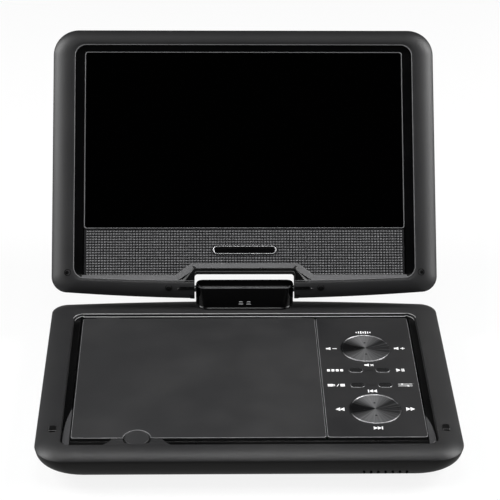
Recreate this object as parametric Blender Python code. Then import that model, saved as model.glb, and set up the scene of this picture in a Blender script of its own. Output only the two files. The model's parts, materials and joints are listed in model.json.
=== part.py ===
"""Portable disc player: a flat base with a disc door and a screen lid on a swivel-and-tilt hinge.

Lengths are in millimetres, and MM turns them into Blender's metres when a mesh is made.
The base's own frame has +X right, +Y from the front edge to the hinge, and +Z up from the
plane where the case is widest. Lid pieces are drawn in the closed lid's place, measured
from the tilt axis, and the tilt pivot then opens them to the rest angle.
"""

import math

import bmesh
import bpy
from mathutils import Vector

MM = 0.001
GAP = 0.3

# Case: base and lid share this outline, with a rear edge that bows outwards.
CASE_WIDTH = 240.0
CASE_DEPTH = 171.0
FRONT_RADIUS = 16.0
REAR_RADIUS = 10.0
REAR_BOW = 4.0
WALL = 2.0
CORNER_STEPS = 5
BOW_STEPS = 6
HALF_WIDTH = CASE_WIDTH / 2

# Base heights above the widest plane.
RIM_CROWN = 4.0
CHANNEL_FLOOR = 1.0
PANEL_TOP = 2.3
CASE_FLOOR = -18.0
FOOT_HEIGHT = 1.5
SPLIT = -0.45

# Rectangles in the base's plan: x low, x high, y low, y high.
RIM_INNER = (-106.0, 106.0, 10.9, 150.3)
DECK_OPENING = (-101.3, 101.3, 17.8, 149.4)
DOOR = (-100.0, 43.2, 19.3, 146.9)
PANEL = (43.8, 100.4, 19.3, 146.9)

# The pillow rim's section: share of the way inwards, and height.
PILLOW = ((0.0, 0.0), (0.04, 1.2), (0.12, 2.2), (0.3, 3.4), (0.55, 4.0), (0.85, 3.9), (1.0, 3.4))
# The lower case's section: height, and how far the wall has drawn in.
BELLY = ((-0.75, 0.3), (-5.0, 0.6), (-8.5, 1.8), (-11.2, 4.0), (-14.0, 8.0), (-16.8, 13.0), (-18.0, 18.0))
REAR_SHARE = 0.35
BELLY_RADIUS_GAIN = 0.5

# Hinge
HINGE_Y = 164.1
TILT_Z = 13.5
OPEN_ANGLE = 127.2
BLOCK_HALF = 30.4
NOTCH_HALF = 31.2
NOTCH_REACH = 9.9
BLOCK_FRONT = 10.4
TILT_PIN_RADIUS = 2.0
SHAFT_RADIUS = 3.0
SHAFT_HEAD_RADIUS = 3.9
BEARING_TOP = -1.3
BEARING_BOTTOM = -3.6

# Lid, measured towards the screen side from the tilt axis.
LID_FACE = 8.5
LID_OUTLINE = 4.5
LID_RIM = 4.0
LID_BACK = ((4.2, 0.1), (0.0, 0.4), (-3.5, 1.6), (-6.0, 4.0), (-7.6, 7.0), (-8.5, 12.0))
LID_WALL = 1.8
SCREEN_HALF = 100.0
LID_RIM_HALF = 106.5
SCREEN_TOP = 156.6
SCREEN_BOTTOM = 43.6
LID_RIM_TOP = 161.2
LID_RIM_BOTTOM = 10.3
GRILLE_BOTTOM = 14.8
HOOD_TOP = 22.0
HOOD_HALF_TOP = 33.0
HOOD_HALF_FOOT = 42.0
SCREEN_SINK = 2.0

# Controls: plan positions and sizes.
DISC_CENTRE = (-33.0, 83.0)
DISC_WELL_RADIUS = 61.5
WELL_FLOOR = -7.6
PAD_RADIUS = 15.0
VOLUME_PAD = (72.0, 111.5)
PLAYBACK_PAD = (72.8, 46.9)
KEY_SIZE = (9.0, 6.0)
KEYS = {
    "mode_key": (64.6, 87.6),
    "play_key": (80.5, 87.6),
    "source_key": (64.5, 71.7),
    "setup_key": (80.6, 71.7),
}
OPEN_BUTTON = (-63.0, 19.3)
OPEN_BUTTON_RADIUS = 7.0
BUMPERS = {"lid_bumper_left": (-110.5, 26.0), "lid_bumper_right": (111.0, 26.0)}
DOOR_AXIS_Y = 147.2
DOOR_AXIS_Z = 0.6
DOOR_KNUCKLES = (-85.0, 28.0)
KNUCKLE_LENGTH = 8.0
EAR_WIDTH = 3.0

# Feet, screws and sockets.
FOOT_RADIUS = 6.0
FEET_X = 96.0
FEET_Y = (30.0, 156.0)
SCREW_X = 78.0
SIDE_Z = -6.0
VENT_START = 62.0
VENT_PITCH = 4.0
VENT_COUNT = 7

FINISHES = {
    "matte_black": ((0.030, 0.030, 0.032), 0.55, 0.0),
    "gloss_black": ((0.012, 0.012, 0.013), 0.18, 0.0),
    "screen": ((0.002, 0.002, 0.002), 0.12, 0.0),
    "spun_metal": ((0.16, 0.16, 0.165), 0.30, 0.9),
    "steel": ((0.55, 0.55, 0.56), 0.32, 1.0),
    "rubber": ((0.020, 0.020, 0.020), 0.85, 0.0),
    "board_green": ((0.02, 0.12, 0.05), 0.50, 0.0),
    "cell_blue": ((0.04, 0.07, 0.16), 0.45, 0.0),
    "bright_trim": ((0.50, 0.50, 0.51), 0.25, 0.9),
}


# ---------------------------------------------------------------- tools

def clear_scene():
    for item in list(bpy.data.objects):
        bpy.data.objects.remove(item, do_unlink=True)


def finish(name):
    """The material of this finish, made once."""
    found = bpy.data.materials.get(name)
    if found:
        return found
    colour, roughness, metallic = FINISHES[name]
    made = bpy.data.materials.new(name)
    made.use_nodes = True
    shader = made.node_tree.nodes["Principled BSDF"]
    shader.inputs["Base Color"].default_value = (*colour, 1.0)
    shader.inputs["Roughness"].default_value = roughness
    shader.inputs["Metallic"].default_value = metallic
    made.diffuse_color = (*colour, 1.0)
    return made


def pivot(name, place, parent=None):
    """An empty at a place in the base's frame; pieces that move hang from one."""
    empty = bpy.data.objects.new(name, None)
    bpy.context.scene.collection.objects.link(empty)
    offset = Vector(parent["place"]) if parent else Vector((0.0, 0.0, 0.0))
    empty.location = (Vector(place) - offset) * MM
    empty["place"] = place
    if parent:
        empty.parent = parent
    return empty


def piece(name, shape, colour, parent, smooth=True):
    """A mesh object from (points, faces); points are measured from the parent's own place."""
    points, faces = shape
    mesh = bpy.data.meshes.new(name)
    mesh.from_pydata([Vector(p) * MM for p in points], [], faces)
    work = bmesh.new()
    work.from_mesh(mesh)
    bmesh.ops.recalc_face_normals(work, faces=work.faces)
    work.to_mesh(mesh)
    work.free()
    mesh.materials.append(finish(colour))
    if smooth:
        mesh.shade_smooth()
        mesh.set_sharp_from_angle(angle=math.radians(35.0))
    made = bpy.data.objects.new(name, mesh)
    bpy.context.scene.collection.objects.link(made)
    made.parent = parent
    return made


def boolean(target, operation, name, shape):
    """Cuts or joins a helper shape, which stays hidden, to a piece."""
    helper = piece(name, shape, "matte_black", target.parent, smooth=False)
    helper.hide_render = True
    helper.display_type = "WIRE"
    step = target.modifiers.new(name, "BOOLEAN")
    step.operation = operation
    step.solver = "EXACT"
    step.object = helper
    return helper


def cut(target, name, shape):
    return boolean(target, "DIFFERENCE", name, shape)


def join(target, name, shape):
    return boolean(target, "UNION", name, shape)


def skin(rings, closed=False):
    """A body over rings of equal length: ends are capped, or joined round when closed."""
    count = len(rings[0])
    points = [tuple(p) for ring in rings for p in ring]
    faces = []
    for row in range(len(rings) if closed else len(rings) - 1):
        here = row * count
        there = ((row + 1) % len(rings)) * count
        for i in range(count):
            j = (i + 1) % count
            faces.append((here + i, here + j, there + j, there + i))
    if not closed:
        faces.append(tuple(range(count)))
        faces.append(tuple(range(len(points) - count, len(points))))
    return points, faces


def arc(centre_x, centre_y, radius, start, end, steps):
    turns = [math.radians(start + (end - start) * i / steps) for i in range(steps + 1)]
    return [(centre_x + radius * math.cos(t), centre_y + radius * math.sin(t)) for t in turns]


def plan(x_low, x_high, y_low, y_high, front_radius, rear_radius, bow=None, steps=CORNER_STEPS):
    """A rounded rectangle, counter-clockwise, whose far edge can bow outwards by `bow`."""
    side_y = y_high - (bow or 0.0)
    outline = arc(x_high - front_radius, y_low + front_radius, front_radius, -90, 0, steps)
    outline += arc(x_high - rear_radius, side_y - rear_radius, rear_radius, 0, 90, steps)
    middle = (x_low + x_high) / 2
    reach = (x_high - x_low) / 2 - rear_radius
    if bow is not None:
        for i in range(1, BOW_STEPS):
            share = 1 - 2 * i / BOW_STEPS
            outline.append((middle + share * reach, y_high - bow * share * share))
    outline += arc(x_low + rear_radius, side_y - rear_radius, rear_radius, 90, 180, steps)
    outline += arc(x_low + front_radius, y_low + front_radius, front_radius, 180, 270, steps)
    return outline


def at_height(outline, z):
    return [(x, y, z) for x, y in outline]


def slab(outline, low, high):
    """A flat piece of this plan between two heights."""
    return skin([at_height(outline, low), at_height(outline, high)])


def block(centre, size):
    """A rectangular piece from its centre and its three sizes."""
    x, y, z = centre
    a, b, c = (s / 2 for s in size)
    outline = [(x - a, y - b), (x + a, y - b), (x + a, y + b), (x - a, y + b)]
    return slab(outline, z - c, z + c)


def turned(centre, profile, axis="Z", sides=24, hollow=False):
    """Rings of (radius, distance along the axis) about a centre."""
    rings = []
    for radius, along in profile:
        ring = []
        for i in range(sides):
            t = 2 * math.pi * i / sides
            a, b = radius * math.cos(t), radius * math.sin(t)
            local = {"X": (along, a, b), "Y": (b, along, a), "Z": (a, b, along)}[axis]
            ring.append(tuple(c + l for c, l in zip(centre, local)))
        rings.append(ring)
    return skin(rings, closed=hollow)


def cylinder(centre, radius, low, high, axis="Z", sides=24):
    return turned(centre, [(radius, low), (radius, high)], axis, sides)


def washer(centre, inner, outer, low, high, axis="Z", sides=24):
    profile = [(inner, low), (outer, low), (outer, high), (inner, high)]
    return turned(centre, profile, axis, sides, hollow=True)


def along_x(section, low, high):
    """A section in (y, z) carried between two x values."""
    return skin([[(low, y, z) for y, z in section], [(high, y, z) for y, z in section]])


def mix(a, b, share):
    return tuple(p + (q - p) * share for p, q in zip(a, b))


# ---------------------------------------------------------------- case outlines

def case_rect(inset=0.0, rear_inset=None):
    rear = inset if rear_inset is None else rear_inset
    return (-HALF_WIDTH + inset, HALF_WIDTH - inset, inset, CASE_DEPTH - rear)


def rim_ring(share, z, inner, shift_y=0.0, flip=1.0, inner_radius=6.0, inner_bow=REAR_BOW):
    """One ring of a pillow rim, a share of the way from the case outline to its inner edge."""
    rect = mix(case_rect(), inner, share)
    front = FRONT_RADIUS + (inner_radius - FRONT_RADIUS) * share
    rear = REAR_RADIUS + (inner_radius - REAR_RADIUS) * share
    bow = REAR_BOW + (inner_bow - REAR_BOW) * share
    outline = plan(*rect, front, rear, bow)
    return [(x, y + shift_y, flip * z) for x, y in outline]


def belly_ring(z, inset, wall=0.0):
    rect = case_rect(inset + wall, REAR_SHARE * inset + wall)
    front = FRONT_RADIUS + BELLY_RADIUS_GAIN * inset - wall / 2
    rear = REAR_RADIUS + BELLY_RADIUS_GAIN * inset - wall / 2
    return at_height(plan(*rect, front, rear, REAR_BOW), z)


# ---------------------------------------------------------------- base

def base_bottom_case(base):
    outer = [belly_ring(z, inset) for z, inset in BELLY]
    inner = [belly_ring(z, inset, WALL) for z, inset in BELLY[:-2]]
    inner.append(belly_ring(BELLY[-2][0] + WALL * 0.9, BELLY[-2][1] + WALL / 2, WALL / 2))
    inner.append(belly_ring(CASE_FLOOR + WALL, BELLY[-1][1] + WALL, 0.0))
    case = piece("base_bottom_case", skin(inner[::-1] + outer), "matte_black", base)
    for index in range(VENT_COUNT):
        x = VENT_START + VENT_PITCH * index
        slot = [(x, -2.0), (x + 1.2, -2.0), (x + 3.2, 12.0), (x + 2.0, 12.0)]
        cut(case, f"vent_cutter_{index}", slab(slot, -13.2, -10.2))
    for name, centre, size in wall_openings():
        cut(case, f"{name}_cutter", block(centre, size))
    for name, x, y in screw_places():
        cut(case, f"{name}_cutter", cylinder((x, y, CASE_FLOOR), 3.0, -3.0, 6.0, sides=16))
    return case


def wall_openings():
    """Name, centre and size of each hole through the case's side walls."""
    right, left = HALF_WIDTH - 1.0, -HALF_WIDTH + 1.0
    return (
        ("headphone_socket", (right, 34.0, SIDE_Z), (8.0, 7.6, 7.6)),
        ("usb_socket", (right, 72.0, SIDE_Z), (8.0, 14.6, 7.4)),
        ("card_slot", (right, 104.0, SIDE_Z), (8.0, 27.6, 4.6)),
        ("dc_socket", (left, 128.0, SIDE_Z), (8.0, 9.6, 8.4)),
        ("power_switch", (left, 104.0, SIDE_Z), (8.0, 10.6, 4.6)),
    )


def base_top_frame(base):
    rings = [rim_ring(0.005, SPLIT, RIM_INNER)]
    rings += [rim_ring(share, z, RIM_INNER, inner_bow=0.0) for share, z in PILLOW]
    rings.append(at_height(plan(*RIM_INNER, 6.0, 6.0, 0.0), CHANNEL_FLOOR))
    rings.append(at_height(plan(*DECK_OPENING, 3.0, 3.0, 0.0), CHANNEL_FLOOR))
    rings.append(at_height(plan(*DECK_OPENING, 3.0, 3.0, 0.0), -0.8))
    under = mix(RIM_INNER, case_rect(), 0.12)
    rings.append(at_height(plan(*under, 7.0, 7.0, 0.5), -0.8))
    rings.append(rim_ring(0.80, 1.9, RIM_INNER, inner_bow=0.0))
    rings.append(rim_ring(0.36, 1.5, RIM_INNER, inner_bow=0.0))
    rings.append(rim_ring(0.16, SPLIT, RIM_INNER, inner_bow=0.0))
    frame = piece("base_top_frame", skin(rings, closed=True), "matte_black", base)
    land = [(-82.0, 9.0), (-44.0, 9.0), (-49.0, 18.4), (-77.0, 18.4)]
    join(frame, "button_land", slab(land, -0.6, PANEL_TOP - 0.2))
    well = cylinder((*OPEN_BUTTON, 0.0), OPEN_BUTTON_RADIUS + 0.5, -4.0, 6.0, sides=32)
    cut(frame, "button_well_cutter", well)
    collar = cylinder((0.0, HINGE_Y, 0.0), SHAFT_RADIUS + 0.6, -4.0, 8.0)
    cut(frame, "swivel_cutter", collar)
    for name, (x, y) in BUMPERS.items():
        cut(frame, f"{name}_cutter", cylinder((x, y, 0.0), 2.6, 2.4, 8.0, sides=20))
    return frame


def disc_deck(base):
    """The moulding under the door: a plate with the round disc well and the pickup's slot."""
    plate = (-101.0, 43.4, 18.1, 149.1)
    deck = piece("disc_deck", slab(plan(*plate, 3.0, 3.0), -2.6, -1.1), "matte_black", base)
    x, y = DISC_CENTRE
    bowl = cylinder((x, y, 0.0), DISC_WELL_RADIUS + 1.6, WELL_FLOOR - 1.6, -1.2, sides=48)
    join(deck, "well_wall", bowl)
    cut(deck, "well_cutter", cylinder((x, y, 0.0), DISC_WELL_RADIUS, WELL_FLOOR, 5.0, sides=48))
    cut(deck, "motor_cutter", cylinder((x, y, 0.0), 13.5, -20.0, 5.0, sides=32))
    cut(deck, "pickup_cutter", block((x + 33.6, y, WELL_FLOOR), (55.0, 22.0, 11.0)))
    for middle in DOOR_KNUCKLES:
        for side in (-1, 1):
            ear_x = middle + side * (KNUCKLE_LENGTH / 2 + GAP + EAR_WIDTH / 2)
            ear = block((ear_x, DOOR_AXIS_Y, -0.35), (EAR_WIDTH, 3.2, 4.3))
            join(deck, f"ear_{middle:.0f}_{side}", ear)
            hole = cylinder((ear_x, DOOR_AXIS_Y, DOOR_AXIS_Z), 1.1, -3.0, 3.0, "X", 12)
            cut(deck, f"ear_hole_{middle:.0f}_{side}", hole)
    stem = cylinder((*OPEN_BUTTON, 0.0), 4.2, -8.0, 4.0, sides=20)
    cut(deck, "button_stem_cutter", stem)
    cut(deck, "latch_cutter", block((OPEN_BUTTON[0] + 14.0, 20.5, -2.0), (9.0, 7.0, 6.0)))
    return deck


def control_panel(base):
    panel = piece("control_panel", slab(plan(*PANEL, 2.0, 2.0), 0.3, PANEL_TOP), "gloss_black", base)
    for name, (x, y) in (("volume", VOLUME_PAD), ("playback", PLAYBACK_PAD)):
        cut(panel, f"{name}_well_cutter", cylinder((x, y, 0.0), PAD_RADIUS + 0.7, -2.0, 5.0, sides=48))
    for name, (x, y) in KEYS.items():
        hole = key_plan(x, y, 0.35)
        cut(panel, f"{name}_cutter", slab(hole, -2.0, 5.0))
    return panel


def key_plan(x, y, grow=0.0):
    a, b = KEY_SIZE[0] / 2 + grow, KEY_SIZE[1] / 2 + grow
    return plan(x - a, x + a, y - b, y + b, b - 0.05, b - 0.05, None, 4)


def base_inner_pieces(base):
    piece("key_board", block((71.6, 83.1, -4.9), (51.0, 124.0, 1.2)), "board_green", base, False)
    board = block((-22.5, 83.0, -14.9), (145.0, 118.0, 1.2))
    piece("main_board", board, "board_green", base, False)
    piece("battery_pack", block((74.0, 83.0, -10.8), (44.0, 110.0, 7.6)), "cell_blue", base, False)
    x, y = DISC_CENTRE
    motor = [(12.5, -12.9), (12.5, -6.3), (4.0, -6.3), (4.0, -5.6)]
    piece("spindle_motor", turned((x, y, 0.0), motor, sides=28), "steel", base)
    for name, side in (("front_guide_rod", -1), ("rear_guide_rod", 1)):
        rod = cylinder((x, y + side * 18.5, -11.8), 1.25, 13.0, 72.0, "X", 12)
        piece(name, rod, "steel", base)
    motor_place = (x + 69.0, y + 12.6, -12.0)
    piece("sled_motor", cylinder(motor_place, 1.9, -3.0, 8.5, "X", 16), "steel", base)


def door_hinge_pins(base):
    for side, middle in (("left", DOOR_KNUCKLES[0]), ("right", DOOR_KNUCKLES[1])):
        pin = cylinder((middle, DOOR_AXIS_Y, DOOR_AXIS_Z), 0.75, -7.0, 7.0, "X", 12)
        piece(f"door_hinge_pin_{side}", pin, "steel", base)


def swivel_bearing(base):
    """A plate under the rear band that the swivel shaft turns in."""
    outline = plan(-20.0, 20.0, 155.0, 168.0, 3.0, 3.0)
    plate = piece("swivel_bearing", slab(outline, BEARING_BOTTOM, BEARING_TOP), "steel", base)
    cut(plate, "bearing_cutter", cylinder((0.0, HINGE_Y, 0.0), SHAFT_RADIUS + GAP, -8.0, 4.0))


def feet_and_bumpers(base):
    names = ("front_left", "front_right", "rear_left", "rear_right")
    places = [(sx * FEET_X, y) for y in FEET_Y for sx in (-1, 1)]
    for name, (x, y) in zip(names, places):
        high = CASE_FLOOR - GAP
        profile = [(FOOT_RADIUS - 0.6, high - FOOT_HEIGHT), (FOOT_RADIUS, high - 1.0), (FOOT_RADIUS, high)]
        piece(f"foot_{name}", turned((x, y, 0.0), profile), "rubber", base)
    for name, (x, y) in BUMPERS.items():
        profile = [(2.2, 2.7), (2.2, RIM_CROWN + 0.3), (1.6, RIM_CROWN + 0.7)]
        piece(name, turned((x, y, 0.0), profile, sides=20), "rubber", base)


def screw_places():
    rows = ((FEET_Y[0] + 4.0, "front"), (FEET_Y[1] - 12.0, "rear"))
    return [
        (f"case_screw_{row}_{side}", sign * SCREW_X, y)
        for y, row in rows
        for sign, side in ((-1, "left"), (1, "right"))
    ]


def case_screws(base):
    for name, x, y in screw_places():
        profile = [(2.6, CASE_FLOOR + 0.4), (2.6, CASE_FLOOR + 1.6), (1.3, CASE_FLOOR + 1.7), (1.3, CASE_FLOOR + 2.1)]
        screw = piece(name, turned((x, y, 0.0), profile, sides=16), "steel", base)
        cut(screw, f"{name}_drive", block((x, y, CASE_FLOOR + 0.3), (3.4, 0.8, 1.2)))


def sockets(base):
    phones = piece("headphone_socket", block((112.4, 34.0, SIDE_Z), (13.4, 7.0, 7.0)), "gloss_black", base)
    cut(phones, "headphone_bore", cylinder((116.0, 34.0, SIDE_Z), 1.9, -9.0, 6.0, "X", 16))
    usb = piece("usb_socket", block((111.6, 72.0, SIDE_Z), (15.0, 14.0, 6.8)), "steel", base, False)
    cut(usb, "usb_mouth", block((115.0, 72.0, SIDE_Z), (18.0, 12.4, 5.2)))
    card = piece("card_slot", block((108.6, 104.0, SIDE_Z), (20.6, 27.0, 4.0)), "gloss_black", base, False)
    cut(card, "card_mouth", block((112.0, 104.0, SIDE_Z), (24.0, 24.6, 2.4)))
    jack = piece("dc_socket", block((-112.2, 128.0, SIDE_Z), (13.8, 9.0, 7.8)), "gloss_black", base)
    cut(jack, "dc_bore", washer((-112.2, 128.0, SIDE_Z), 0.8, 2.8, -12.0, 4.0, "X", 20))


# ---------------------------------------------------------------- base, moving pieces

def disc_door(base):
    door = pivot("disc_door_axis", (0.0, DOOR_AXIS_Y, DOOR_AXIS_Z), base)
    x_low, x_high, y_low, y_high = DOOR
    outline = plan(x_low, x_high, y_low - DOOR_AXIS_Y, y_high - DOOR_AXIS_Y, 2.0, 2.0)
    low, high = 0.7 - DOOR_AXIS_Z, PANEL_TOP - DOOR_AXIS_Z
    lid = piece("disc_door", slab(outline, low, high), "gloss_black", door)
    for middle in DOOR_KNUCKLES:
        for side in (-1, 1):
            ear_x = middle + side * (KNUCKLE_LENGTH / 2 + GAP + EAR_WIDTH / 2)
            room = block((ear_x, 0.0, 0.0), (EAR_WIDTH + 2 * GAP, 4.6, 8.0))
            cut(lid, f"ear_room_{middle:.0f}_{side}", room)
        knuckle = cylinder((middle, 0.0, 0.0), 1.6, -KNUCKLE_LENGTH / 2, KNUCKLE_LENGTH / 2, "X", 16)
        join(lid, f"knuckle_{middle:.0f}", knuckle)
        cut(lid, f"knuckle_hole_{middle:.0f}", cylinder((middle, 0.0, 0.0), 1.1, -9.0, 9.0, "X", 12))
    button = (OPEN_BUTTON[0], OPEN_BUTTON[1] - DOOR_AXIS_Y, 0.0)
    cut(lid, "button_notch", cylinder(button, OPEN_BUTTON_RADIUS + 0.6, -5.0, 5.0, sides=32))
    catch = block((OPEN_BUTTON[0] + 14.0, y_low - DOOR_AXIS_Y + 1.4, -0.9), (6.0, 1.4, 2.4))
    join(lid, "catch_tab", catch)


def open_button(base):
    x, y = OPEN_BUTTON
    place = pivot("open_button_axis", (x, y, 0.0), base)
    profile = [(3.2, -8.0), (3.2, 0.0), (OPEN_BUTTON_RADIUS, 0.2), (OPEN_BUTTON_RADIUS, 2.1), (6.4, 2.6)]
    piece("open_button", turned((0.0, 0.0, 0.0), profile, sides=32), "gloss_black", place)
    latch = pivot("door_latch_axis", (x + 14.0, 18.6, -3.0), base)
    hook = [(-2.4, -4.4), (2.4, -4.4), (2.4, -2.9), (0.9, -2.9), (0.9, -0.3), (0.4, 0.6), (-0.6, 0.6), (-0.6, -2.9),
            (-2.4, -2.9)]
    piece("door_latch", along_x([(py - 0.2, pz) for py, pz in hook], -3.0, 3.0), "matte_black", latch, False)


def disc_drive(base):
    x, y = DISC_CENTRE
    hub = pivot("spindle_axis", (x, y, 0.0), base)
    profile = [(1.2, -5.3), (13.0, -5.3), (13.0, -4.2), (7.3, -4.2), (7.3, -2.4), (6.0, -1.6)]
    piece("spindle_hub", turned((0.0, 0.0, 0.0), profile, sides=36), "matte_black", hub)
    sled = pivot("pickup_axis", (x + 32.0, y, -11.8), base)
    body = piece("pickup_sled", block((0.0, 0.0, 0.1), (16.0, 41.0, 4.0)), "matte_black", sled, False)
    for side in (-1, 1):
        bore = cylinder((0.0, side * 18.5, 0.0), 1.6, -12.0, 12.0, "X", 16)
        cut(body, f"rod_bore_{side}", bore)
    cut(body, "screw_room", block((0.0, 12.6, -1.4), (20.0, 4.6, 5.6)))
    join(body, "lens_turret", turned((0.0, 0.0, 0.0), [(4.5, 1.8), (4.5, 3.0), (3.4, 3.6)], sides=20))
    screw = pivot("lead_screw_axis", (x + 40.0, y + 12.6, -12.0), base)
    rings = []
    turns = 18
    for i in range(turns + 1):
        along = -24.5 + 50.0 * i / turns
        rings.append((1.25 if i % 2 else 0.9, along))
    piece("lead_screw", turned((0.0, 0.0, 0.0), rings, "X", 12), "steel", screw)


def rocker_pads(base):
    """Four-way pads: each rocks about X on its pivot post, and about Y on top of the post."""
    for name, (x, y) in (("volume", VOLUME_PAD), ("playback", PLAYBACK_PAD)):
        post = pivot(f"{name}_pad_axis", (x, y, 0.6), base)
        stem = [(2.2, -3.6), (2.2, -1.9), (1.2, -1.6), (1.2, -0.4)]
        piece(f"{name}_pad_pivot", turned((0.0, 0.0, 0.0), stem, sides=16), "matte_black", post)
        profile = [(PAD_RADIUS - 0.6, -0.1), (PAD_RADIUS, 0.2), (PAD_RADIUS, 1.7), (PAD_RADIUS - 0.7, 2.4),
                   (PAD_RADIUS - 3.0, 2.2), (3.0, 1.9)]
        piece(f"{name}_pad", turned((0.0, 0.0, 0.0), profile, sides=48), "spun_metal", post)


def small_keys(base):
    for name, (x, y) in KEYS.items():
        place = pivot(f"{name}_axis", (x, y, 0.0), base)
        low = at_height(key_plan(0.0, 0.0), -1.4)
        high = at_height(key_plan(0.0, 0.0), 2.0)
        top = at_height(key_plan(0.0, 0.0, -0.5), 2.5)
        piece(name, skin([low, high, top]), "gloss_black", place)


def power_switch(base):
    place = pivot("power_switch_axis", (-HALF_WIDTH + 1.0, 104.0, SIDE_Z), base)
    cap = piece("power_switch", block((2.2, 1.6, 0.0), (5.2, 6.0, 3.6)), "matte_black", place, False)
    for index in range(3):
        rib = block((-0.5, 0.2 + 1.4 * index, 0.0), (0.8, 0.5, 5.0))
        cut(cap, f"grip_cutter_{index}", rib)


# ---------------------------------------------------------------- hinge

def hinge(base):
    """The swivelling block, its shaft through the base, and the pins the lid tilts on."""
    swivel = pivot("swivel_axis", (0.0, HINGE_Y, 0.0), base)
    foot = RIM_CROWN + GAP - TILT_Z
    section = [(-BLOCK_FRONT, foot), (-BLOCK_FRONT, foot + 0.5), (-9.4, foot + 1.0), (-8.6, foot + 3.4),
               (-6.1, 3.8), (-5.4, 4.7), (-4.6, 4.95), (2.0, 5.1), (4.2, 4.0), (5.6, 1.4), (6.2, -3.0), (7.0, foot)]
    raised = [(y, z + TILT_Z) for y, z in section]
    hinge_block = piece("hinge_block", along_x(raised, -BLOCK_HALF - 2, BLOCK_HALF + 2), "gloss_black", swivel)
    ends = plan(-BLOCK_HALF, BLOCK_HALF, -BLOCK_FRONT - 0.4, BLOCK_FRONT + 0.4, 10.4, 10.4, None, 8)
    boolean(hinge_block, "INTERSECT", "block_ends", slab(ends, 0.0, 30.0))
    for side in (-1, 1):
        hole = cylinder((side * 31.0, 0.0, TILT_Z), TILT_PIN_RADIUS + GAP, -9.0, 9.0, "X", 20)
        cut(hinge_block, f"tilt_hole_{side}", hole)
    socket = cylinder((0.0, 0.0, 0.0), SHAFT_RADIUS + GAP, 0.0, 11.3)
    cut(hinge_block, "shaft_socket", socket)
    neck = BEARING_BOTTOM - GAP
    profile = [(SHAFT_HEAD_RADIUS, neck - 1.8), (SHAFT_HEAD_RADIUS, neck), (SHAFT_RADIUS, neck), (SHAFT_RADIUS, 11.0)]
    piece("swivel_shaft", turned((0.0, 0.0, 0.0), profile), "steel", swivel)
    for side, name in ((-1, "tilt_pin_left"), (1, "tilt_pin_right")):
        pin = cylinder((side * 31.5, 0.0, TILT_Z), TILT_PIN_RADIUS, -8.5, 8.5, "X", 20)
        piece(name, pin, "steel", swivel)
    return swivel


# ---------------------------------------------------------------- lid

def lid_y(height):
    """Place along the closed lid for a height above its hinge edge."""
    return CASE_DEPTH - HINGE_Y - height


def lid_inner_rect():
    """The rim's inner edge, as a rectangle in the base's frame."""
    top, bottom = HINGE_Y + lid_y(LID_RIM_TOP), HINGE_Y + lid_y(LID_RIM_BOTTOM)
    return (-LID_RIM_HALF, LID_RIM_HALF, top, bottom)


def hood(grow=0.0, foot=LID_RIM_BOTTOM):
    """The raised surround above the hinge notch, in the closed lid's plan."""
    return [
        (-HOOD_HALF_FOOT - grow, lid_y(foot)),
        (HOOD_HALF_FOOT + grow, lid_y(foot)),
        (HOOD_HALF_TOP + grow, lid_y(HOOD_TOP + grow)),
        (-HOOD_HALF_TOP - grow, lid_y(HOOD_TOP + grow)),
    ]


def notch():
    return block((0.0, 8.0 - NOTCH_REACH + 2.0, 0.0), (2 * NOTCH_HALF, 20.0, 40.0))


def lid_front_bezel(lid):
    inner = lid_inner_rect()
    rings = []
    for share, z in PILLOW:
        ring = rim_ring(share, LID_OUTLINE + z * LID_RIM / RIM_CROWN, inner, -HINGE_Y, -1.0, 7.0, 2.0)
        rings.append(ring)
    face = -(LID_FACE - SCREEN_SINK - 0.2)
    window = (-SCREEN_HALF - GAP, SCREEN_HALF + GAP, lid_y(SCREEN_TOP) - GAP, lid_y(GRILLE_BOTTOM) + GAP)
    window_plan = plan(*window, 1.5, 1.5, 0.0)
    rings.append(at_height(window_plan, face))
    rings.append(at_height(window_plan, face + 1.6))
    rings.append([(x, y, face + 1.6) for x, y, _ in rim_ring(0.9, 0.0, inner, -HINGE_Y, -1.0, 7.0, 2.0)])
    rings.append(rim_ring(0.4, LID_OUTLINE + 1.5, inner, -HINGE_Y, -1.0, 7.0, 2.0))
    rings.append(rim_ring(0.16, LID_OUTLINE, inner, -HINGE_Y, -1.0, 7.0, 2.0))
    bezel = piece("lid_front_bezel", skin(rings, closed=True), "matte_black", lid)
    join(bezel, "hinge_hood", slab(hood(foot=6.0), -8.3, -5.0))
    cut(bezel, "notch_cutter", notch())
    for index, (x, y) in enumerate(plug_places()):
        cut(bezel, f"plug_cutter_{index}", cylinder((x, y, 0.0), 1.9, -12.0, -5.2, sides=16))
    return bezel


def plug_places():
    outer, near = (109.8, 16.1), (47.2, 6.5)
    return [(sign * x, lid_y(h)) for x, h in (outer, near) for sign in (-1, 1)]


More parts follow.
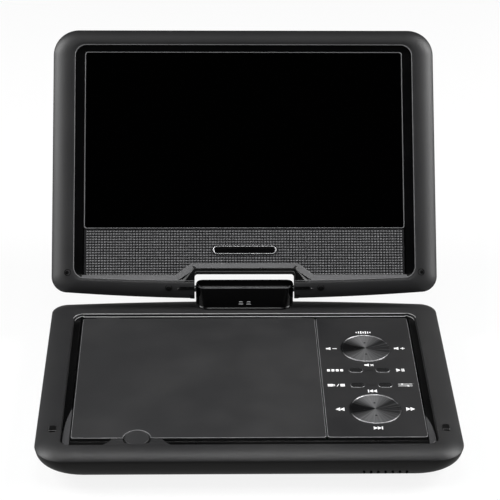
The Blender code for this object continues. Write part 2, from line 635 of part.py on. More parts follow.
def lid_back_cover(lid):
    def ring(n, inset, wall=0.0):
        rect = case_rect(inset + wall)
        outline = plan(*rect, FRONT_RADIUS - wall / 2, REAR_RADIUS - wall / 2, REAR_BOW)
        return [(x, y - HINGE_Y, -n) for x, y in outline]

    outer = [ring(n, inset) for n, inset in LID_BACK]
    inner = [ring(n, inset, LID_WALL) for n, inset in LID_BACK[:-1]]
    inner[-1] = ring(LID_BACK[-2][0] + LID_WALL * 0.8, LID_BACK[-2][1] + LID_WALL)
    inner.append(ring(LID_BACK[-1][0] + LID_WALL, LID_BACK[-1][1] + LID_WALL))
    cover = piece("lid_back_cover", skin(inner[::-1] + outer), "matte_black", lid)
    pocket = block((0.0, 1.5 - NOTCH_REACH, 1.0), (2 * NOTCH_HALF + 7.0, 9.4, 10.2))
    join(cover, "notch_wall", pocket)
    for side in (-1, 1):
        cheek = block((side * (NOTCH_HALF + 1.5), -2.0, 1.0), (3.4, 10.0, 10.2))
        join(cover, f"notch_cheek_{side}", cheek)
    cut(cover, "notch_cutter_back", notch())
    for side in (-1, 1):
        hole = cylinder((side * 34.0, 0.0, 0.0), TILT_PIN_RADIUS + GAP, -5.0, 5.0, "X", 20)
        cut(cover, f"pin_hole_{side}", hole)
    return cover


def lid_inner_pieces(lid):
    face = -(LID_FACE - SCREEN_SINK)
    screen = (-SCREEN_HALF, SCREEN_HALF, lid_y(SCREEN_TOP), lid_y(SCREEN_BOTTOM) - GAP)
    piece("lcd_panel", slab(plan(*screen, 1.5, 0.6), face, face + 4.5), "screen", lid)
    grille = (-SCREEN_HALF, SCREEN_HALF, lid_y(SCREEN_BOTTOM), lid_y(GRILLE_BOTTOM) - GAP)
    panel = piece("grille_panel", slab(plan(*grille, 0.6, 1.5), face, face + 1.5), "matte_black", lid)
    cut(panel, "hood_cutter", slab(hood(GAP + 0.2, 6.0), -12.0, 0.0))
    badge = plan(-19.8, 19.8, lid_y(32.9), lid_y(27.5), 2.6, 2.6)
    room = plan(-20.1, 20.1, lid_y(33.2), lid_y(27.2), 2.9, 2.9)
    cut(panel, "badge_cutter", slab(room, face - 2.0, face + 1.0))
    piece("badge_plate", slab(badge, face - 0.5, face + 0.7), "bright_trim", lid)
    for side, name in ((-1, "lid_speaker_left"), (1, "lid_speaker_right")):
        middle = (side * 70.0, lid_y(29.5), 0.0)
        cone = [(9.0, -4.4), (12.5, -4.4), (12.5, -2.6), (8.0, -1.2), (8.0, 1.6), (3.0, 1.6), (3.0, -3.0)]
        piece(name, turned(middle, cone, sides=28, hollow=True), "steel", lid)
    for side, name in ((-1, "hinge_bracket_left"), (1, "hinge_bracket_right")):
        place = (side * 37.6, -7.6, 0.0)
        bracket = piece(name, block(place, (3.6, 21.0, 5.8)), "steel", lid, False)
        hole = cylinder((side * 37.6, 0.0, 0.0), TILT_PIN_RADIUS + GAP, -5.0, 5.0, "X", 20)
        cut(bracket, f"{name}_hole", hole)
    for index, (x, y) in enumerate(plug_places()):
        plug = cylinder((x, y, 0.0), 1.6, -7.6, -5.6, sides=16)
        piece(f"lid_screw_plug_{index + 1}", plug, "rubber", lid)


# ---------------------------------------------------------------- assembly

def bounds():
    """Lowest and highest corner of everything that isn't a helper, in metres."""
    bpy.context.view_layer.update()
    graph = bpy.context.evaluated_depsgraph_get()
    low, high = Vector((1e9,) * 3), Vector((-1e9,) * 3)
    for item in bpy.context.scene.objects:
        if item.type != "MESH" or item.hide_render:
            continue
        evaluated = item.evaluated_get(graph)
        shape = evaluated.to_mesh()
        for vertex in shape.vertices:
            place = evaluated.matrix_world @ vertex.co
            low = Vector(map(min, low, place))
            high = Vector(map(max, high, place))
        evaluated.to_mesh_clear()
    return low, high


def stand_on_origin(base):
    """Moves the whole player so that its box stands centred on the origin."""
    low, high = bounds()
    base.location = (-(low.x + high.x) / 2, -(low.y + high.y) / 2, -low.z)


def main():
    clear_scene()
    base = pivot("base_origin", (0.0, 0.0, 0.0))
    base_bottom_case(base)
    base_top_frame(base)
    disc_deck(base)
    control_panel(base)
    base_inner_pieces(base)
    door_hinge_pins(base)
    swivel_bearing(base)
    feet_and_bumpers(base)
    case_screws(base)
    sockets(base)
    disc_door(base)
    open_button(base)
    disc_drive(base)
    rocker_pads(base)
    small_keys(base)
    power_switch(base)
    swivel = hinge(base)
    lid = pivot("tilt_axis", (0.0, HINGE_Y, TILT_Z), swivel)
    lid.rotation_euler = (math.radians(-OPEN_ANGLE), 0.0, 0.0)
    lid_front_bezel(lid)
    lid_back_cover(lid)
    lid_inner_pieces(lid)
    stand_on_origin(base)


main()
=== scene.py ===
import json
import math

import bpy
import numpy as np
from mathutils import Matrix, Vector
from mathutils.geometry import delaunay_2d_cdt


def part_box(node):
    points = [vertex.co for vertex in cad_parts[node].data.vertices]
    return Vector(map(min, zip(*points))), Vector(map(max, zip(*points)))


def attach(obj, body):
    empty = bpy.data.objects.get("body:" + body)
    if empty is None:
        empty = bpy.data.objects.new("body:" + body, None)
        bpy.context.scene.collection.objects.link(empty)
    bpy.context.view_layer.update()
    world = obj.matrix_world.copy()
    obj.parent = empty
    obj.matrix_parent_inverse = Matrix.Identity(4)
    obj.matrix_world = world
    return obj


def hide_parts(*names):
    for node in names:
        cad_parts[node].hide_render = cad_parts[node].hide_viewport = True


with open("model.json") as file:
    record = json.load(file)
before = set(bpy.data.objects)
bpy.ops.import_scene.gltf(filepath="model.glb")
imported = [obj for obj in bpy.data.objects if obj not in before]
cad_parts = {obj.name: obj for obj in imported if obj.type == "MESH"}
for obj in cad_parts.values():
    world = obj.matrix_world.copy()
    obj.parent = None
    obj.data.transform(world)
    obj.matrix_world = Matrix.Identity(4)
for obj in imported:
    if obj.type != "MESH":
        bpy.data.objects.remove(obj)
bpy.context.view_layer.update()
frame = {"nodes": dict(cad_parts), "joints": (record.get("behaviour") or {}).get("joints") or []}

# The looks of a portable disc player with a swivelling screen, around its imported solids.
#
# Shapes are written in millimetres in two frames. The case frame has x to the right, y back from the
# front edge and z up from the case's parting line. The lid frame has x to the right, h up the lid from
# its hinge edge and n out of the screen.

MM = 0.001

# ---------------------------------------------------------------- driving dimensions, in millimetres

HALF_WIDTH = 120.0
DEPTH = 171.0
HINGE_Y = 164.1
FRONT_RADIUS = 16.0
REAR_RADIUS = 10.0
REAR_BOW = 4.0
CROWN = 4.0
SPLIT = -0.45
CHANNEL_FLOOR = 1.0
PANEL_TOP = 2.3
RIM_INNER = (-106.0, 106.0, 10.9, 150.3)
DECK_OPENING = (-101.3, 101.3, 17.8, 149.4)
DOOR = (-100.0, 43.2, 19.3, 146.9)
PANEL = (43.8, 100.4, 19.3, 146.9)
BELLY_TOP = -0.75
BELLY_DEPTH = 17.25
BELLY_INSET = 18.0
REAR_SHARE = 0.35
WALL = 2.0

LID_OUTLINE = 4.5
LID_INNER = (-106.5, 106.5, 9.8, 160.7)
LID_THICKNESS = 12.7
LID_BACK_INSET = 12.0
FACE_N = 6.5
PLATEAU_N = 8.3
NOTCH_HALF = 31.2
NOTCH_TOP = 16.8
HOOD_HALF_TOP = 33.0
HOOD_HALF_FOOT = 42.0
HOOD_TOP = 22.0
TRIM_LOW = 10.3
TRIM_HIGH = 14.8
HOOD_TRIM = 3.3
BOTTOM_BOW = 2.0
DOT_PITCH = 1.81
DOT_ROW = 1.68
DOT_HEIGHT = 0.42

MARK_REACH = 6.3
PAD_WELL = 16.2
BUTTON_WELL = 7.5
DOOR_NOTCH = 7.6
KEY_LONG = 4.5
KEY_WIDE = 3.0

CORNER_STEPS = 14
BOW_STEPS = 24

joints = {joint["name"]: joint for joint in frame["joints"]}
SWIVEL = np.array(joints["screen_swivel"]["pos_m"])
TILT = np.array(joints["screen_tilt"]["pos_m"])
CASE_ORIGIN = SWIVEL - np.array([0.0, HINGE_Y * MM, 0.0])
LEAN = -math.radians(joints["screen_tilt"]["range_deg"][1])


# ---------------------------------------------------------------- frames

def in_case(points):
    """Case frame to row frame: scale to metres, then move to the case's origin."""
    return np.asarray(points, float) * MM + CASE_ORIGIN


def in_lid(points):
    """Lid frame to row frame: the closed lid's y is the hinge edge less h and its z is -n, and that is
    turned about X by the lean and moved to the tilt axis."""
    x, h, n = np.moveaxis(np.asarray(points, float), -1, 0)
    y, z = DEPTH - HINGE_Y - h, -n
    turned_y = y * math.cos(LEAN) - z * math.sin(LEAN)
    turned_z = y * math.sin(LEAN) + z * math.cos(LEAN)
    return np.stack([x, turned_y, turned_z], -1) * MM + TILT


def case_box(node):
    """Lowest and highest corner of a node in the case frame."""
    low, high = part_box(node)
    return (np.array(low) - CASE_ORIGIN) / MM, (np.array(high) - CASE_ORIGIN) / MM


def case_centre(node):
    """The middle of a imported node's box, in the case frame."""
    low, high = case_box(node)
    return (low + high) / 2


def lid_box(node):
    """Lowest and highest corner of a node in the lid frame: the inverse of in_lid on its points."""
    mesh = frame["nodes"][node].data
    points = np.empty(len(mesh.vertices) * 3)
    mesh.vertices.foreach_get("co", points)
    x, y, z = np.moveaxis((points.reshape(-1, 3) - TILT) / MM, -1, 0)
    flat_y = y * math.cos(LEAN) + z * math.sin(LEAN)
    flat_z = -y * math.sin(LEAN) + z * math.cos(LEAN)
    local = np.stack([x, DEPTH - HINGE_Y - flat_y, -flat_z], -1)
    return local.min(0), local.max(0)


# ---------------------------------------------------------------- meshes from arrays

def new_mesh(name, points, face_sets, placed=in_case, sharp=35.0, outward=True):
    """A mesh from points (n, 3) in mm and index arrays of shape (faces, corners). The signed volume, the
    sum of each fan triangle's triple product, says whether the faces point in, and then they are turned."""
    points = placed(points)
    if outward:
        volume = 0.0
        for faces in face_sets:
            for k in range(1, faces.shape[1] - 1):
                a, b, c = points[faces[:, 0]], points[faces[:, k]], points[faces[:, k + 1]]
                volume += np.einsum("ij,ij->i", a - CASE_ORIGIN, np.cross(b - CASE_ORIGIN, c - CASE_ORIGIN)).sum()
        if volume < 0:
            face_sets = [faces[:, ::-1] for faces in face_sets]
    mesh = bpy.data.meshes.new(name)
    counts = np.concatenate([np.full(len(faces), faces.shape[1]) for faces in face_sets])
    corners = np.concatenate([faces.ravel() for faces in face_sets]).astype(np.int32)
    starts = np.concatenate([[0], np.cumsum(counts)[:-1]]).astype(np.int32)
    mesh.vertices.add(len(points))
    mesh.vertices.foreach_set("co", points.astype(np.float32).ravel())
    mesh.loops.add(len(corners))
    mesh.loops.foreach_set("vertex_index", corners)
    mesh.polygons.add(len(counts))
    mesh.polygons.foreach_set("loop_start", starts)
    mesh.update(calc_edges=True)
    mesh.validate()
    mesh.shade_smooth()
    mesh.set_sharp_from_angle(angle=math.radians(sharp))
    return mesh


def add_piece(name, mesh, body, finish, replaced=(), weighted=True):
    """Puts a mesh in the scene as a piece that rides on a body and stands for the named nodes."""
    piece = bpy.data.objects.new(name, mesh)
    bpy.context.scene.collection.objects.link(piece)
    mesh.materials.append(finish)
    if weighted:
        step = piece.modifiers.new("flat_faces_stay_flat", "WEIGHTED_NORMAL")
        step.keep_sharp = True
        step.weight = 80
    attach(piece, body)
    if replaced:
        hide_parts(*replaced)
    return piece


def outline(rect, front_radius, rear_radius, bow=0.0):
    """A rounded rectangle run anticlockwise: a quarter circle at each corner, straight sides between, and
    the far side lifted towards its middle by a parabola of height `bow`."""
    x_low, x_high, y_low, y_high = rect
    turn = np.linspace(0, math.pi / 2, CORNER_STEPS + 1)

    def corner(x, y, radius, start):
        return np.stack([x + radius * np.cos(start + turn), y + radius * np.sin(start + turn)], 1)

    share = np.linspace(1, -1, BOW_STEPS + 1)[1:-1]
    side_y = y_high - bow
    reach = (x_high - x_low) / 2 - rear_radius
    far = np.stack([(x_low + x_high) / 2 + share * reach, y_high - bow * share ** 2], 1)
    return np.concatenate([
        corner(x_high - front_radius, y_low + front_radius, front_radius, -math.pi / 2),
        corner(x_high - rear_radius, side_y - rear_radius, rear_radius, 0.0),
        far,
        corner(x_low + rear_radius, side_y - rear_radius, rear_radius, math.pi / 2),
        corner(x_low + front_radius, y_low + front_radius, front_radius, math.pi),
    ])


def shrunk(rect, by):
    """The rectangle (x low, x high, y low, y high) with each side moved in by the same amount."""
    x_low, x_high, y_low, y_high = rect
    return (x_low + by, x_high - by, y_low + by, y_high - by)


def at(plan, height):
    """A flat ring: the plan's points, all at one height."""
    return np.column_stack([plan, np.full(len(plan), height)])


def ring_faces(rows, count, closed=False):
    """Quads between neighbouring rings of a (rows, count) grid that closes round its second direction,
    and round its first too when `closed`."""
    here = np.arange(rows * count).reshape(rows, count)
    if not closed:
        low, high = here[:-1], here[1:]
    else:
        low, high = here, np.roll(here, -1, 0)
    return np.stack([low, np.roll(low, -1, 1), np.roll(high, -1, 1), high], -1).reshape(-1, 4)


def loft(name, rings, closed=False, placed=in_case, sharp=35.0):
    """A surface through rings of equal length, with a flat face across each end unless it is closed."""
    grid = np.stack(rings)
    rows, count = grid.shape[:2]
    faces = [ring_faces(rows, count, closed)]
    if not closed:
        ends = np.arange(count)
        faces.append(ends[::-1][None])
        faces.append((ends + (rows - 1) * count)[None])
    return new_mesh(name, grid.reshape(-1, 3), faces, placed, sharp)


def turned(name, centre, profile, axis="Z", sides=48, placed=in_case, sharp=35.0, closed=False):
    """A turned part: each (radius, distance along the axis) makes one ring about the centre."""
    turn = np.linspace(0, 2 * math.pi, sides, endpoint=False)
    radius, along = np.array(profile, float).T
    across = radius[:, None] * np.cos(turn), radius[:, None] * np.sin(turn)
    straight = np.repeat(along[:, None], sides, 1)
    order = {"X": (straight, *across), "Y": (across[1], straight, across[0]), "Z": (*across, straight)}
    grid = np.stack(order[axis], -1) + np.asarray(centre, float)
    return loft(name, list(grid), closed, placed, sharp)


def rounded_profile(points, radius, steps=5):
    """The profile with each inner corner replaced by an arc-like curve: a quadratic through the points that
    lie `radius` before and after the corner."""
    points = np.asarray(points, float)
    out = [points[:1]]
    share = np.linspace(0, 1, steps + 1)[:, None]
    for before, corner, after in zip(points[:-2], points[1:-1], points[2:]):
        back, on = before - corner, after - corner
        back *= min(radius / np.linalg.norm(back), 0.48)
        on *= min(radius / np.linalg.norm(on), 0.48)
        start, end = corner + back, corner + on
        out.append((1 - share) ** 2 * start + 2 * share * (1 - share) * corner + share ** 2 * end)
    out.append(points[-1:])
    return np.concatenate(out)


def moved_in(loop, distance):
    """Each point of an anticlockwise loop moved to its left by `distance`, along the mean of its two
    edges' normals, lengthened so that both edges move by that much."""
    ahead = np.roll(loop, -1, 0) - loop
    ahead /= np.linalg.norm(ahead, axis=1)[:, None]
    left = np.stack([-ahead[:, 1], ahead[:, 0]], 1)
    mean = left + np.roll(left, 1, 0)
    mean /= np.linalg.norm(mean, axis=1)[:, None]
    stretch = np.einsum("ij,ij->i", mean, left).clip(0.3, 1)
    return loop + mean * (distance / stretch)[:, None]


def filled(loops):
    """Triangles over everything inside the outer loop, as indices into the loops' points in order. The
    holes' loops become edges of the filling, but the holes themselves are filled over too."""
    points = np.concatenate(loops)
    edges, start = [], 0
    for loop in loops:
        index = np.arange(len(loop)) + start
        edges.append(np.stack([index, np.roll(index, -1)], 1))
        start += len(loop)
    result = delaunay_2d_cdt(points.tolist(), np.concatenate(edges).tolist(), [], 2, 1e-6)
    origin = np.array([source[0] for source in result[3]])
    return origin[np.array(result[2])]


def plate(name, loops, low, high, edge, placed=in_case, rows=4):
    """A flat plate with rounded upper edges. Each loop, the outer one anticlockwise and the holes
    clockwise, goes down a quarter circle of radius `edge` and then straight to the underside; the two
    upper and lower flats are filled with triangles, which also close the flats over each hole."""
    angle = np.linspace(0, math.pi / 2, rows + 1)
    insets = np.append(edge * (1 - np.sin(angle)), [0.0])
    heights = np.append(high - edge * (1 - np.cos(angle)), [low])
    points, faces, tops, bottoms, start = [], [], [], [], 0
    for loop in loops:
        rings = [at(moved_in(loop, inset), height) for inset, height in zip(insets, heights)]
        count = len(loop)
        faces.append(ring_faces(len(rings), count) + start)
        tops.append(np.arange(count) + start)
        bottoms.append(np.arange(count) + start + count * (len(rings) - 1))
        points.append(np.concatenate(rings))
        start += count * len(rings)
    points = np.concatenate(points)
    for ends, turn in ((tops, 1), (bottoms, -1)):
        flat = np.concatenate(ends)
        triangles = flat[filled([points[end][:, :2] for end in ends])]
        faces.append(triangles[:, ::turn])
    faces[0:len(loops)] = [quads[:, ::-1] for quads in faces[0:len(loops)]]
    return new_mesh(name, points, faces, placed)


def circle(x, y, radius, sides=64, clockwise=False):
    """Points at equal turns round a centre: x by the cosine of the turn and y by its sine."""
    turn = np.linspace(0, 2 * math.pi, sides, endpoint=False) * (-1 if clockwise else 1)
    return np.stack([x + radius * np.cos(turn), y + radius * np.sin(turn)], 1)


def pill(x, y, half_long, half_wide, sides=12):
    """A stadium: two half circles of the half width joined by straight sides, anticlockwise."""
    turn = np.linspace(-math.pi / 2, math.pi / 2, sides + 1)
    reach = half_long - half_wide
    right = np.stack([x + reach + half_wide * np.cos(turn), y + half_wide * np.sin(turn)], 1)
    return np.concatenate([right, np.array([2 * x, 2 * y]) - right])


def prism(loop, low, high):
    """Points and faces of a straight-sided solid on an anticlockwise loop."""
    count = len(loop)
    points = np.concatenate([at(loop, low), at(loop, high)])
    ends = np.arange(count)
    return points, [ring_faces(2, count), ends[::-1][None], (ends + count)[None]]


def rectangle(x, y, half_x, half_y):
    """The four corners round a centre, anticlockwise."""
    corners = np.array([(-1, -1), (1, -1), (1, 1), (-1, 1)], float)
    return corners * (half_x, half_y) + (x, y)


def carve(mesh, cutters):
    """The mesh less each cutter mesh, by exact Booleans, as one new mesh."""
    holder = bpy.data.objects.new("carve_holder", mesh)
    bpy.context.scene.collection.objects.link(holder)
    helpers = []
    for index, cutter in enumerate(cutters):
        helper = bpy.data.objects.new(f"carve_helper_{index}", cutter)
        bpy.context.scene.collection.objects.link(helper)
        helpers.append(helper)
        step = holder.modifiers.new(f"cut_{index}", "BOOLEAN")
        step.operation = "DIFFERENCE"
        step.object = helper
    graph = bpy.context.evaluated_depsgraph_get()
    carved = bpy.data.meshes.new_from_object(holder.evaluated_get(graph))
    for helper in [holder, *helpers]:
        bpy.data.objects.remove(helper)
    carved.shade_smooth()
    carved.set_sharp_from_angle(angle=math.radians(35))
    return carved


# ---------------------------------------------------------------- node groups for the finishes

def group(name, inputs, outputs):
    """An empty shader node group with these sockets; it returns the tree, its input and output nodes."""
    tree = bpy.data.node_groups.new(name, "ShaderNodeTree")
    for label, kind, value in inputs:
        socket = tree.interface.new_socket(label, in_out="INPUT", socket_type=kind)
        if value is not None:
            socket.default_value = value
    for label, kind in outputs:
        tree.interface.new_socket(label, in_out="OUTPUT", socket_type=kind)
    return tree, tree.nodes.new("NodeGroupInput"), tree.nodes.new("NodeGroupOutput")


def node(tree, kind, links=None, **values):
    """A node with its properties set and its inputs linked to sockets or given as plain values."""
    made = tree.nodes.new(kind)
    for key, value in values.items():
        setattr(made, key, value)
    for label, value in (links or {}).items():
        socket = made.inputs[label]
        if isinstance(value, bpy.types.NodeSocket):
            tree.links.new(value, socket)
        else:
            socket.default_value = value
    return made


def maths(tree, operation, *values, clamp=False):
    """The output of one math node."""
    made = node(tree, "ShaderNodeMath", dict(enumerate(values)), operation=operation, use_clamp=clamp)
    return made.outputs[0]


def spread(tree, value, from_low, from_high, to_low, to_high):
    """A value mapped from one range to another and held inside it."""
    made = node(tree, "ShaderNodeMapRange", {
        "Value": value, "From Min": from_low, "From Max": from_high, "To Min": to_low, "To Max": to_high})
    return made.outputs["Result"]


def noise(tree, place, scale, detail=2.0, roughness=0.5):
    """A noise texture at a scale, read at the given place."""
    made = node(tree, "ShaderNodeTexNoise", {
        "Vector": place, "Scale": scale, "Detail": detail, "Roughness": roughness})
    return made.outputs["Fac"]


FLOAT, COLOUR, VECTOR = "NodeSocketFloat", "NodeSocketColor", "NodeSocketVector"


def moulded_grain():
    """Spark-eroded mould texture: fine pits over a slow mottle. Height feeds a Bump, Shift a roughness."""
    tree, given, out = group("moulded_grain", [("Pitch", FLOAT, 2600.0), ("Mottle", FLOAT, 45.0)],
                             [("Height", FLOAT), ("Shift", FLOAT)])
    place = tree.nodes.new("ShaderNodeTexCoord").outputs["Object"]
    fine = noise(tree, place, given.outputs["Pitch"], 3.0, 0.6)
    pits = node(tree, "ShaderNodeTexVoronoi", {"Vector": place, "Scale": given.outputs["Pitch"]},
                feature="SMOOTH_F1").outputs["Distance"]
    slow = noise(tree, place, given.outputs["Mottle"], 3.0, 0.55)
    height = maths(tree, "MULTIPLY_ADD", pits, 0.6, maths(tree, "MULTIPLY", fine, 0.4))
    shift = maths(tree, "MULTIPLY_ADD", slow, 0.7, maths(tree, "MULTIPLY", fine, 0.3))
    tree.links.new(height, out.inputs["Height"])
    tree.links.new(maths(tree, "SUBTRACT", shift, 0.5), out.inputs["Shift"])
    return tree


def settled_dust():
    """Sparse specks and a thin film on faces that look up at rest."""
    tree, given, out = group("settled_dust", [("Amount", FLOAT, 0.5)], [("Mask", FLOAT)])
    coordinates = tree.nodes.new("ShaderNodeTexCoord")
    place = coordinates.outputs["Object"]
    up = node(tree, "ShaderNodeSeparateXYZ", {0: coordinates.outputs["Normal"]}).outputs["Z"]
    level = spread(tree, up, 0.2, 0.9, 0.0, 1.0)
    specks = node(tree, "ShaderNodeTexVoronoi", {"Vector": place, "Scale": 420.0}).outputs["Distance"]
    dots = spread(tree, specks, 0.05, 0.10, 1.0, 0.0)
    gate = spread(tree, noise(tree, place, 160.0, 1.0), 0.56, 0.62, 0.0, 1.0)
    film = spread(tree, noise(tree, place, 14.0, 4.0, 0.65), 0.4, 0.8, 0.0, 0.22)
    dust = maths(tree, "MAXIMUM", maths(tree, "MULTIPLY", dots, gate), film)
    masked = maths(tree, "MULTIPLY", maths(tree, "MULTIPLY", dust, level), given.outputs["Amount"])
    tree.links.new(masked, out.inputs["Mask"])
    return tree


def handling_marks():
    """Smudges and hairline scratches of a polished face, as a shift of its roughness and a small height."""
    tree, given, out = group("handling_marks", [("Smudge", FLOAT, 30.0), ("Hairline", FLOAT, 700.0)],
                             [("Shift", FLOAT), ("Height", FLOAT)])
    place = tree.nodes.new("ShaderNodeTexCoord").outputs["Object"]
    smear = spread(tree, noise(tree, place, given.outputs["Smudge"], 4.0, 0.6), 0.35, 0.7, 0.0, 1.0)
    long_way = node(tree, "ShaderNodeMapping", {"Vector": place, "Rotation": (0.0, 0.0, 0.5),
                                                "Scale": (1.0, 0.03, 0.3)}).outputs["Vector"]
    line = noise(tree, long_way, given.outputs["Hairline"], 2.0)
    scratch = spread(tree, line, 0.70, 0.76, 0.0, 1.0)
    tree.links.new(maths(tree, "MULTIPLY_ADD", scratch, 0.6, smear), out.inputs["Shift"])
    tree.links.new(maths(tree, "MULTIPLY", scratch, -1.0), out.inputs["Height"])
    return tree


def painted_edge_highlight():
    """Painted highlight: a colour that turns towards a lighter second one where the piece's own `edge` attribute is
    high, standing in for light caught on rounded edges and dot tops.
    """
    tree, given, out = group("painted_edge_highlight",
                             [("Body", COLOUR, None), ("Edge", COLOUR, None), ("Amount", FLOAT, 1.0)],
                             [("Color", COLOUR), ("Mask", FLOAT)])
    place = tree.nodes.new("ShaderNodeTexCoord").outputs["Object"]
    marked = node(tree, "ShaderNodeAttribute", attribute_name="edge").outputs["Fac"]
    # A noise makes the painted highlight uneven along the edge.
    uneven_highlight = spread(tree, noise(tree, place, 260.0, 3.0), 0.3, 0.6, 0.65, 1.0)
    mask = maths(tree, "MULTIPLY", maths(tree, "MULTIPLY", marked, uneven_highlight), given.outputs["Amount"])
    blend = node(tree, "ShaderNodeMix", {0: mask, 6: given.outputs["Body"], 7: given.outputs["Edge"]},
                 data_type="RGBA")
    tree.links.new(blend.outputs[2], out.inputs["Color"])
    tree.links.new(mask, out.inputs["Mask"])
    return tree


def spun_face():
    """A face cut on a lathe about a centre: rings of uneven depth by radius, and a painted reflection of
    light and dark fans by angle that sharpen towards the middle."""
    tree, given, out = group("spun_face", [("Centre", VECTOR, None), ("Rings", FLOAT, 9000.0)],
                             [("Height", FLOAT), ("Painted_Fan_Reflection", FLOAT)])
    place = tree.nodes.new("ShaderNodeTexCoord").outputs["Object"]
    away = node(tree, "ShaderNodeVectorMath", {0: place, 1: given.outputs["Centre"]}, operation="SUBTRACT")
    parts = node(tree, "ShaderNodeSeparateXYZ", {0: away.outputs[0]})
    flat = node(tree, "ShaderNodeCombineXYZ", {"X": parts.outputs["X"], "Y": parts.outputs["Y"]}).outputs[0]
    radius = node(tree, "ShaderNodeVectorMath", {0: flat}, operation="LENGTH").outputs["Value"]
    along = node(tree, "ShaderNodeCombineXYZ", {"X": maths(tree, "MULTIPLY", radius, given.outputs["Rings"])})
    rings = noise(tree, along.outputs[0], 1.0, 2.0)
    angle = maths(tree, "ARCTAN2", parts.outputs["Y"], parts.outputs["X"])
    wide = maths(tree, "COSINE", maths(tree, "MULTIPLY", angle, 2.0))
    spokes = node(tree, "ShaderNodeCombineXYZ", {"X": maths(tree, "COSINE", angle),
                                                 "Y": maths(tree, "SINE", angle)}).outputs[0]
    streaks = noise(tree, spokes, 9.0, 3.0, 0.6)
    narrow = maths(tree, "COSINE", maths(tree, "MULTIPLY_ADD", angle, 3.0, 0.5))
    shape = maths(tree, "MULTIPLY_ADD", narrow, 0.13, maths(tree, "MULTIPLY", wide, -0.36))
    # The fan is a painted reflection, light and dark by angle.
    fan = maths(tree, "ADD", shape, maths(tree, "MULTIPLY_ADD", streaks, 0.8, -0.04))
    # The painted reflection is dimmed at two small spots, over the upper and lower thumb marks.
    ink = 1.0
    for side in (-1.0, 1.0):
        spot = node(tree, "ShaderNodeCombineXYZ", {"Y": side * MARK_REACH * MM}).outputs[0]
        near = node(tree, "ShaderNodeVectorMath", {0: flat, 1: spot}, operation="DISTANCE").outputs["Value"]
        ink = maths(tree, "MULTIPLY", ink, spread(tree, near, 0.00045, 0.0008, 0.05, 1.0))
    tree.links.new(rings, out.inputs["Height"])
    tree.links.new(maths(tree, "MULTIPLY", spread(tree, fan, 0.0, 1.0, 0.0, 1.0), ink), out.inputs["Painted_Fan_Reflection"])
    return tree


GRAIN, DUST, MARKS, EDGE_HIGHLIGHT, SPUN = (make() for make in (moulded_grain, settled_dust, handling_marks,
                                                      painted_edge_highlight, spun_face))


# ---------------------------------------------------------------- finishes

def blank_material(name):
    """A new material with its tree and its Principled shader."""
    material = bpy.data.materials.new(name)
    material.use_nodes = True
    tree = material.node_tree
    tree.nodes.clear()
    shader = node(tree, "ShaderNodeBsdfPrincipled")
    target = tree.nodes.new("ShaderNodeOutputMaterial")
    tree.links.new(shader.outputs[0], target.inputs["Surface"])
    return material, tree, shader


def placed_group(tree, inner, **values):
    """A shader node group put into a tree, with its inputs set or linked."""
    made = tree.nodes.new("ShaderNodeGroup")
    made.node_tree = inner
    for label, value in values.items():
        made.inputs[label].default_value = value
    return made


def plastic(name, colour, roughness, grain=0.05, pitch=2600.0, swing=0.1, dust=0.3, edge=None,
            specular=0.5, metallic=0.0, marks=0.0):
    """Moulded plastic: the colour mottled by the grain, dusted on top, and turned towards the `edge` colour as a
    painted highlight where the piece's `edge` attribute marks it.
    """
    material, tree, shader = blank_material(name)
    texture = placed_group(tree, GRAIN, Pitch=pitch)
    # `edge` is the painted highlight colour, used where the `edge` attribute is set.
    lighter = tuple(edge or colour) + (1.0,)
    rim = placed_group(tree, EDGE_HIGHLIGHT, Body=(*colour, 1.0), Edge=lighter)
    shade = node(tree, "ShaderNodeHueSaturation", {
        "Value": maths(tree, "MULTIPLY_ADD", texture.outputs["Shift"], 0.35, 1.0),
        "Color": rim.outputs["Color"]})
    specks = placed_group(tree, DUST, Amount=dust)
    dusty = node(tree, "ShaderNodeMix", {0: specks.outputs["Mask"], 6: shade.outputs[0],
                                         7: (0.20, 0.19, 0.18, 1.0)}, data_type="RGBA")
    tree.links.new(dusty.outputs[2], shader.inputs["Base Color"])
    rough = maths(tree, "MULTIPLY_ADD", texture.outputs["Shift"], swing, roughness)
    height = texture.outputs["Height"]
    if marks:
        touch = placed_group(tree, MARKS)
        rough = maths(tree, "MULTIPLY_ADD", touch.outputs["Shift"], marks, rough)
        height = maths(tree, "ADD", height, touch.outputs["Height"])
    rough = maths(tree, "ADD", rough, maths(tree, "MULTIPLY", specks.outputs["Mask"], 0.5), clamp=True)
    tree.links.new(rough, shader.inputs["Roughness"])
    bump = node(tree, "ShaderNodeBump", {"Strength": grain, "Distance": 0.0002, "Height": height})
    tree.links.new(bump.outputs[0], shader.inputs["Normal"])
    shader.inputs["Specular IOR Level"].default_value = specular
    shader.inputs["Metallic"].default_value = metallic
    return material


def spun_metal(name, centre):
    """Dark anodised metal spun about the pad's own centre, with a painted fan reflection in its colour."""
    material, tree, shader = blank_material(name)
    face = placed_group(tree, SPUN, Centre=tuple(centre))
    # Painted reflection: near black where the fan is low, light grey where it is high.
    colour = node(tree, "ShaderNodeMix", {0: face.outputs["Painted_Fan_Reflection"], 6: (0.020, 0.020, 0.021, 1.0),
                                          7: (0.62, 0.62, 0.63, 1.0)}, data_type="RGBA")
    tree.links.new(colour.outputs[2], shader.inputs["Base Color"])
    rough = maths(tree, "MULTIPLY_ADD", face.outputs["Height"], 0.2, 0.28)
    tree.links.new(rough, shader.inputs["Roughness"])
    bump = node(tree, "ShaderNodeBump", {"Strength": 0.35, "Distance": 0.0001, "Height": face.outputs["Height"]})
    tree.links.new(bump.outputs[0], shader.inputs["Normal"])
    shader.inputs["Metallic"].default_value = 0.85
    return material


